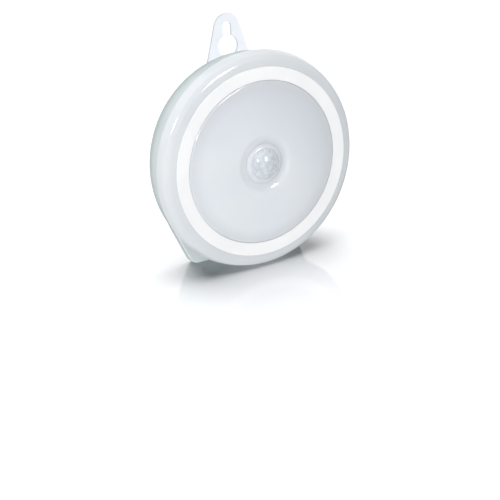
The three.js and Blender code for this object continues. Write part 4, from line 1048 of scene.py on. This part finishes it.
def batteryDoor():
    outline = rectangle(doorHigh.x, doorLow.z, doorHigh.z, bay["cornerRadius"])
    panel = stacked(outline, edged(doorInner, 0, 0.1, door["edge"]))
    neckTop = bayTop - seatGap
    neckLow = neckTop - bay["hookNeck"]
    hookBack = doorSeat - bay["hookShelf"] - bay["hookPlay"]
    hookFront = hookBack - bay["hookThickness"]
    hair, half, latch = door["hair"], bay["hookWidth"] / 2, door["latchHalf"]
    added = []
    for x in hookMiddles:
        added.append(slab(about(x, half), (hookFront, doorInner / 2), (neckLow, neckTop)))
        heights = (neckLow + hair, neckTop + bay["hookReach"])
        added.append(slab(about(x, half - hair), (hookFront + hair, hookBack), heights, 0.1))
    legLow = bayBottom + seatGap
    legDepths = (doorInner - door["legLength"], doorInner / 2)
    added.append(slab(latch, legDepths, (legLow, legLow + door["legThickness"]), 0.1))
    cutters = []
    for x in about(0, latch + door["slit"] / 2):
        heights = (doorLow.z - overrun, doorLow.z + door["latchLength"])
        cutters.append(slab(about(x, door["slit"] / 2), (doorInner - overrun, overrun), heights, 0.2))
    for i in range(door["grips"]):
        z = doorLow.z + door["slit"] + i * door["gripSpacing"]
        depths = (-door["gripDepth"], overrun)
        cutters.append(slab(latch - door["gripInset"], depths, (z, z + door["gripWidth"]), 0.2))
    return cut(joined(panel, *added), *cutters)


addPiece("batteryDoor", batteryDoor(), "battery_door", "housing", housingPlastic, body="battery_door")


# Switch knob

knob = {
    "ridges": 3, "ridgeWidth": 0.5, "ridgeDepth": 0.3, "ridgeSpacing": 1.2, "edge": 0.15, "grooveHalf": 4.0,
    "sliderHalfLength": 2.5, "sliderHalfWidth": 1.9, "sliderThickness": 1.4, "stemStart": 0.7,
}


def switchKnob():
    back = knobHigh.y
    front = back - switch["knobThickness"]
    outline = rectangle(knobHigh.x, knobLow.z, knobHigh.z, switch["cornerRadius"])
    cap = stacked(outline, edged(front, back, 0.05, knob["edge"]))
    depths = (knobLow.y + knob["stemStart"], (front + back) / 2)
    stem = slab(switch["stemLength"] / 2, depths, about(switchHeight, switch["stemWidth"] / 2))
    depths = (knobLow.y, knobLow.y + knob["sliderThickness"])
    slider = slab(knob["sliderHalfLength"], depths, about(switchHeight, knob["sliderHalfWidth"]), 0.1)
    grooves = []
    for i in range(knob["ridges"]):
        x = (i - (knob["ridges"] - 1) / 2) * knob["ridgeSpacing"]
        depths = (back - knob["ridgeDepth"], overrun)
        heights = about(switchHeight, knob["grooveHalf"])
        grooves.append(slab(about(x, knob["ridgeWidth"] / 2), depths, heights, 0.1))
    return joined(cut(cap, *grooves), stem, slider)


addPiece("switchKnob", switchKnob(), "switch_knob", "dark_plastic", darkPlastic, body="switch_knob")
print("hanging tab, door and knob made")


# Screws that hold the housing

screw = {
    "length": 7.5, "headRadius": 2.5, "headHeight": 1.7, "shank": 1.0, "threadDepth": 0.22, "turns": 10,
    "slotWidth": 0.7, "slotDepth": 0.9, "slotLength": 3.0, "lift": 0.1,
}


def panScrew():
    # A pan head with a cross recess on a threaded shank, its seat at y 0
    radius, height, shank, length = [screw[k] for k in ("headRadius", "headHeight", "shank", "length")]
    halfTurns = 2 * screw["turns"]
    thread = []
    for i in range(halfTurns):
        crest = shank if i % 2 else shank - screw["threadDepth"]
        thread.append((crest, -length + shank + (length - shank) * i / halfTurns))
    head = turned(softened([
        (0, height), (radius * 0.75, height, 0.5), (radius, 0.5, 0.4), (radius, 0, 0.1), (shank, 0),
        *thread[::-1], (0, -length),
    ]), 64)
    depths = (height - screw["slotDepth"], height + overrun)
    halfLength, halfWidth = screw["slotLength"] / 2, screw["slotWidth"] / 2
    return cut(head, slab(halfLength, depths, halfWidth, 0.1), slab(halfWidth, depths, halfLength, 0.1))


screwSeat = housing["towerFloor"] - housing["towerLength"] + screw["lift"]
for i, (x, z) in enumerate(screwPlaces, 1):
    place = (x, screwSeat, z)
    addPiece(f"housingScrew{i}", panScrew(), f"housing_screw_{i}", "steel", screwSteel, place=place)


# Batteries and their springs

def batteryCell(low, high, towards):
    # A sleeve with rolled ends and a nub, laid along X
    half = (high.x - low.x) / 2
    radius = (high.z - low.z) / 2
    shoulder = half - 1.0
    cell = turned(softened([
        (0, -half), (radius - 1.3, -half, 0.1), (radius - 1.2, -half + 0.15), (radius - 0.75, -half + 0.1),
        (radius, -half + 0.1, 0.5), (radius, shoulder, 0.5), (radius - 0.8, shoulder, 0.1),
        (radius - 0.9, shoulder - 0.2), (2.2, shoulder - 0.2, 0.15), (1.9, half, 0.25), (0, half),
    ]), 64)
    cell.transform(Matrix.Rotation(-towards * math.pi / 2, 4, "Z"))
    cell.transform(Matrix.Translation((low + high) / 2))
    return cell


coil = {"wire": 0.5, "turns": 4, "base": 3.4, "tip": 1.9, "turnSteps": 40, "wireSteps": 12}


def springCoil(low, high, towards):
    # A tapering coil that widens towards its contact, wound as one wire
    centre = (low + high) / 2
    start = low.x if towards > 0 else high.x
    run = (high.x - low.x) - coil["wire"]
    count = coil["turns"] * coil["turnSteps"]
    wireAngles = [2 * math.pi * k / coil["wireSteps"] for k in range(coil["wireSteps"])]
    shape = bmesh.new()
    rings = []
    for i in range(count + 1):
        share = i / count
        angle = 2 * math.pi * i / coil["turnSteps"]
        radius = coil["base"] + (coil["tip"] - coil["base"]) * share
        outward = Vector((0, math.cos(angle), math.sin(angle)))
        middle = Vector((start + towards * (coil["wire"] / 2 + run * share), centre.y, centre.z))
        middle += outward * radius
        around = [outward * math.cos(t) + Vector((1, 0, 0)) * math.sin(t) for t in wireAngles]
        rings.append([shape.verts.new(middle + spoke * coil["wire"] / 2) for spoke in around])
    for first, second in zip(rings, rings[1:]):
        for k in range(coil["wireSteps"]):
            shape.faces.new((first[k], first[k - 1], second[k - 1], second[k]))
    shape.faces.new(rings[0])
    shape.faces.new(rings[-1])
    return meshOf(shape)


springs = []
for i in (1, 2, 3):
    low, high = extent(f"battery_{i}")
    springLow, springHigh = extent(f"battery_spring_{i}")
    towards = 1 if springLow.x < low.x else -1
    sleeve = makeCellSleeve(f"cell sleeve {i}", towards, (low.x + high.x) / 2, (high.x - low.x) / 2)
    addPiece(f"batteryCell{i}", batteryCell(low, high, towards), f"battery_{i}", "cell", sleeve)
    springs.append(springCoil(springLow, springHigh, towards))
for i, spring in enumerate(springs, 1):
    addPiece(f"batterySpring{i}", spring, f"battery_spring_{i}", "spring", springWire)
print("screws, cells and springs made")


# Inner nodes that keep their CAD shape

innerFinishes = (
    (innerWhite, "sensor_shroud reflector"),
    (boardLacquer, "circuit_board"),
    (tinMetal, "pir_sensor timing_capacitor switch_body contact_negative contact_positive"),
    (tinMetal, "contact_bridge_1 contact_bridge_2"),
    (darkPlastic, "pir_window control_chip"),
    (photocellFace, "light_sensor"),
    (ledFill, "led_1 led_2 led_3 led_4 led_5 led_6"),
    (screwSteel, "board_screw_1 board_screw_2 board_screw_3"),
)
for material, names in innerFinishes:
    for name in names.split():
        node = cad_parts[name]
        node.data.materials.clear()
        node.data.materials.append(material)
print("inner nodes finished")


# Floor, lights and camera

floorLook = {
    "rimDepth": 18.9,  # how far forward of the flat back the rim touches the floor
    "size": 9000.0, "colour": "#B4B5B7", "roughness": 0.03, "ior": 1.55,
    "glossInner": 160.0, "glossOuter": 420.0,  # the gloss fades out between these distances
}


def addFloor():
    material, tree, shader = newMaterial("glossy white floor", {
        "Base Color": paint(floorLook["colour"]), "Specular IOR Level": 0.0, "Roughness": 1.0,
        "Coat IOR": floorLook["ior"], "Coat Roughness": floorLook["roughness"],
    })
    away = addNode(tree, "VectorMath", {0: millimetres(tree)}, operation="LENGTH").outputs["Value"]
    gloss = ranged(tree, away, floorLook["glossInner"], floorLook["glossOuter"], 1.0, 0.0)
    feed(shader, "Coat Weight", gloss)
    half = floorLook["size"] / 2 * mm
    corners = [(-half, -half, 0), (half, -half, 0), (half, half, 0), (-half, half, 0)]
    shape = bmesh.new()
    shape.faces.new([shape.verts.new(corner) for corner in corners])
    mesh = meshOf(shape)
    mesh.materials.append(material)
    floor = bpy.data.objects.new("floor", mesh)
    scene.collection.objects.link(floor)
    lean = math.atan((shellRadius - footDrop) / floorLook["rimDepth"])  # it stands on its rim and its foot
    floor.rotation_euler = (lean, 0, 0)
    floor.location = Vector((0, 0, -footDrop)) * mm
    floor.visible_diffuse = floor.visible_glossy = floor.visible_shadow = False
    return floor


# Directions point towards each lamp
sunDegrees = 80.0  # how wide each sun looks
suns = {  # direction, strength
    "top": ((0, 0, 1), 2.3), "bottom": ((0, 0, -1), 0.95), "front": ((0, -1, 0), 0.72),
    "left": ((-1, 0, 0), 1.1), "right": ((1, 0, 0), 0.85), "back": ((0, 1, 0), 0.9),
    "low left": ((-0.6, -0.6, -0.5), 1.0), "low right": ((0.6, -0.6, -0.5), 0.48),
}
floorSuns = {  # direction, strength, degrees across, what shows it
    "overhead": ((0, 0, 1), 7.0, 60.0, "diffuse"),
    "rear wall": ((0, 0.82, 0.57), 1.8, 40.0, "diffuse"),
    "ceiling": ((0, 0, 1), 1.2, 170.0, "gloss"),  # the bright room that the floor's gloss shows
}
softboxes = {  # direction, distance and size in metres, power, what shows it
    "key": ((-0.6, -0.7, 0.38), 0.5, 0.4, 0.82, "diffuse"),
    "front softbox": ((0.154, -0.872, 0.462), 1.2, 0.43, 10.0, "gloss"),
    "side softbox": ((-0.721, -0.551, 0.422), 1.2, 0.24, 8.0, "gloss"),
}
surround = {
    "fill": 0.03, "base": 0.316,
    "panels": (  # lit parts of the room that show in gloss: direction, edge and full degrees, strength
        ((0.3, 0.95, 0.1), 50.0, 40.0, 0.4), ((0, 0, 1), 50.0, 40.0, 0.49),
        ((0.8, 0.3, 0.3), 50.0, 40.0, 0.47), ((-0.75, 0.5, -0.4), 50.0, 40.0, 0.39),
        ((-0.6, 0.42, 0.68), 34.0, 28.0, 0.95),
    ),
}


def addLamp(name, kind, direction, energy, seen, floor, state, **settings):
    # Lights only the floor, or everything but the floor
    light = bpy.data.lights.new(name, kind)
    light.energy = energy
    for label, value in settings.items():
        setattr(light, label, value)
    holder = bpy.data.objects.new(name, light)
    scene.collection.objects.link(holder)
    holder.rotation_euler = Vector(direction).to_track_quat("Z", "Y").to_euler()
    chosen = bpy.data.collections.new(name + " and the floor")
    chosen.objects.link(floor)
    holder.light_linking.receiver_collection = chosen
    chosen.collection_objects[0].light_linking.link_state = state
    holder.visible_diffuse = seen != "gloss"
    holder.visible_glossy = holder.visible_transmission = seen != "diffuse"
    return holder


def addLights(floor):
    for name, (direction, strength) in suns.items():
        addLamp(name, "SUN", direction, strength, "diffuse", floor, "EXCLUDE", angle=math.radians(sunDegrees))
    for name, (direction, strength, degrees, seen) in floorSuns.items():
        addLamp(name, "SUN", direction, strength, seen, floor, "INCLUDE", angle=math.radians(degrees))
    for name, (direction, distance, size, power, seen) in softboxes.items():
        lamp = addLamp(name, "AREA", direction, power, seen, floor, "EXCLUDE", shape="DISK", size=size)
        lamp.location = Vector((0, ringFace * mm, 0)) + Vector(direction).normalized() * distance


def addWorld():
    # A white room: a soft fill, lit panels that show in gloss, and plain white behind it all
    world = bpy.data.worlds.new("studio")
    scene.world = world
    world.use_nodes = True
    tree = world.node_tree
    tree.nodes.remove(tree.nodes["Background"])
    looking = addNode(tree, "TexCoord").outputs["Generated"]
    glow = surround["base"]
    for direction, edge, full, strength in surround["panels"]:
        inputs = {0: looking, 1: Vector(direction).normalized()}
        facing = addNode(tree, "VectorMath", inputs, operation="DOT_PRODUCT").outputs["Value"]
        share = ranged(tree, facing, math.cos(math.radians(edge)), math.cos(math.radians(full)))
        glow = maths(tree, "ADD", maths(tree, "MULTIPLY", share, strength), glow)
    fill, seen, plain = [
        addNode(tree, "Background", {"Color": (1, 1, 1, 1), "Strength": strength}).outputs[0]
        for strength in (surround["fill"], glow, 1.0)
    ]
    path = addNode(tree, "LightPath").outputs
    room = addNode(tree, "MixShader", {0: path["Is Glossy Ray"], 1: fill, 2: seen}).outputs[0]
    direct = maths(tree, "MAXIMUM", path["Is Camera Ray"], path["Is Transmission Ray"])
    behind = addNode(tree, "MixShader", {0: direct, 1: room, 2: plain}).outputs[0]
    feed(tree.nodes["World Output"], "Surface", behind)
    world.cycles.sampling_method = "NONE"


view = {
    "azimuth": -28.84, "elevation": 21.65, "roll": -4.09, "distance": 505.04, "lens": 88.96,
    "across": -5.48, "down": -35.59,  # where the frame's middle lies from the ring's, millimetres
}


def addCamera():
    azimuth, elevation, roll = [math.radians(view[k]) for k in ("azimuth", "elevation", "roll")]
    back = Vector((
        math.sin(azimuth) * math.cos(elevation), -math.cos(azimuth) * math.cos(elevation),
        math.sin(elevation),
    ))
    level = Vector((math.cos(azimuth), math.sin(azimuth), 0))
    upright = back.cross(level)
    right = level * math.cos(roll) + upright * math.sin(roll)
    up = upright * math.cos(roll) - level * math.sin(roll)
    camera = bpy.data.cameras.new("camera")
    camera.lens = view["lens"]
    camera.sensor_width = 36
    camera.clip_start = 0.01
    holder = bpy.data.objects.new("camera", camera)
    scene.collection.objects.link(holder)
    spot = Vector((0, ringFace, 0)) + back * view["distance"] + right * view["across"] + up * view["down"]
    holder.matrix_world = Matrix.Translation(spot * mm) @ Matrix((right, up, back)).transposed().to_4x4()
    scene.camera = holder


addLights(addFloor())
addWorld()
addCamera()
scene.view_settings.view_transform = "Standard"
print("floor, lights and camera made")
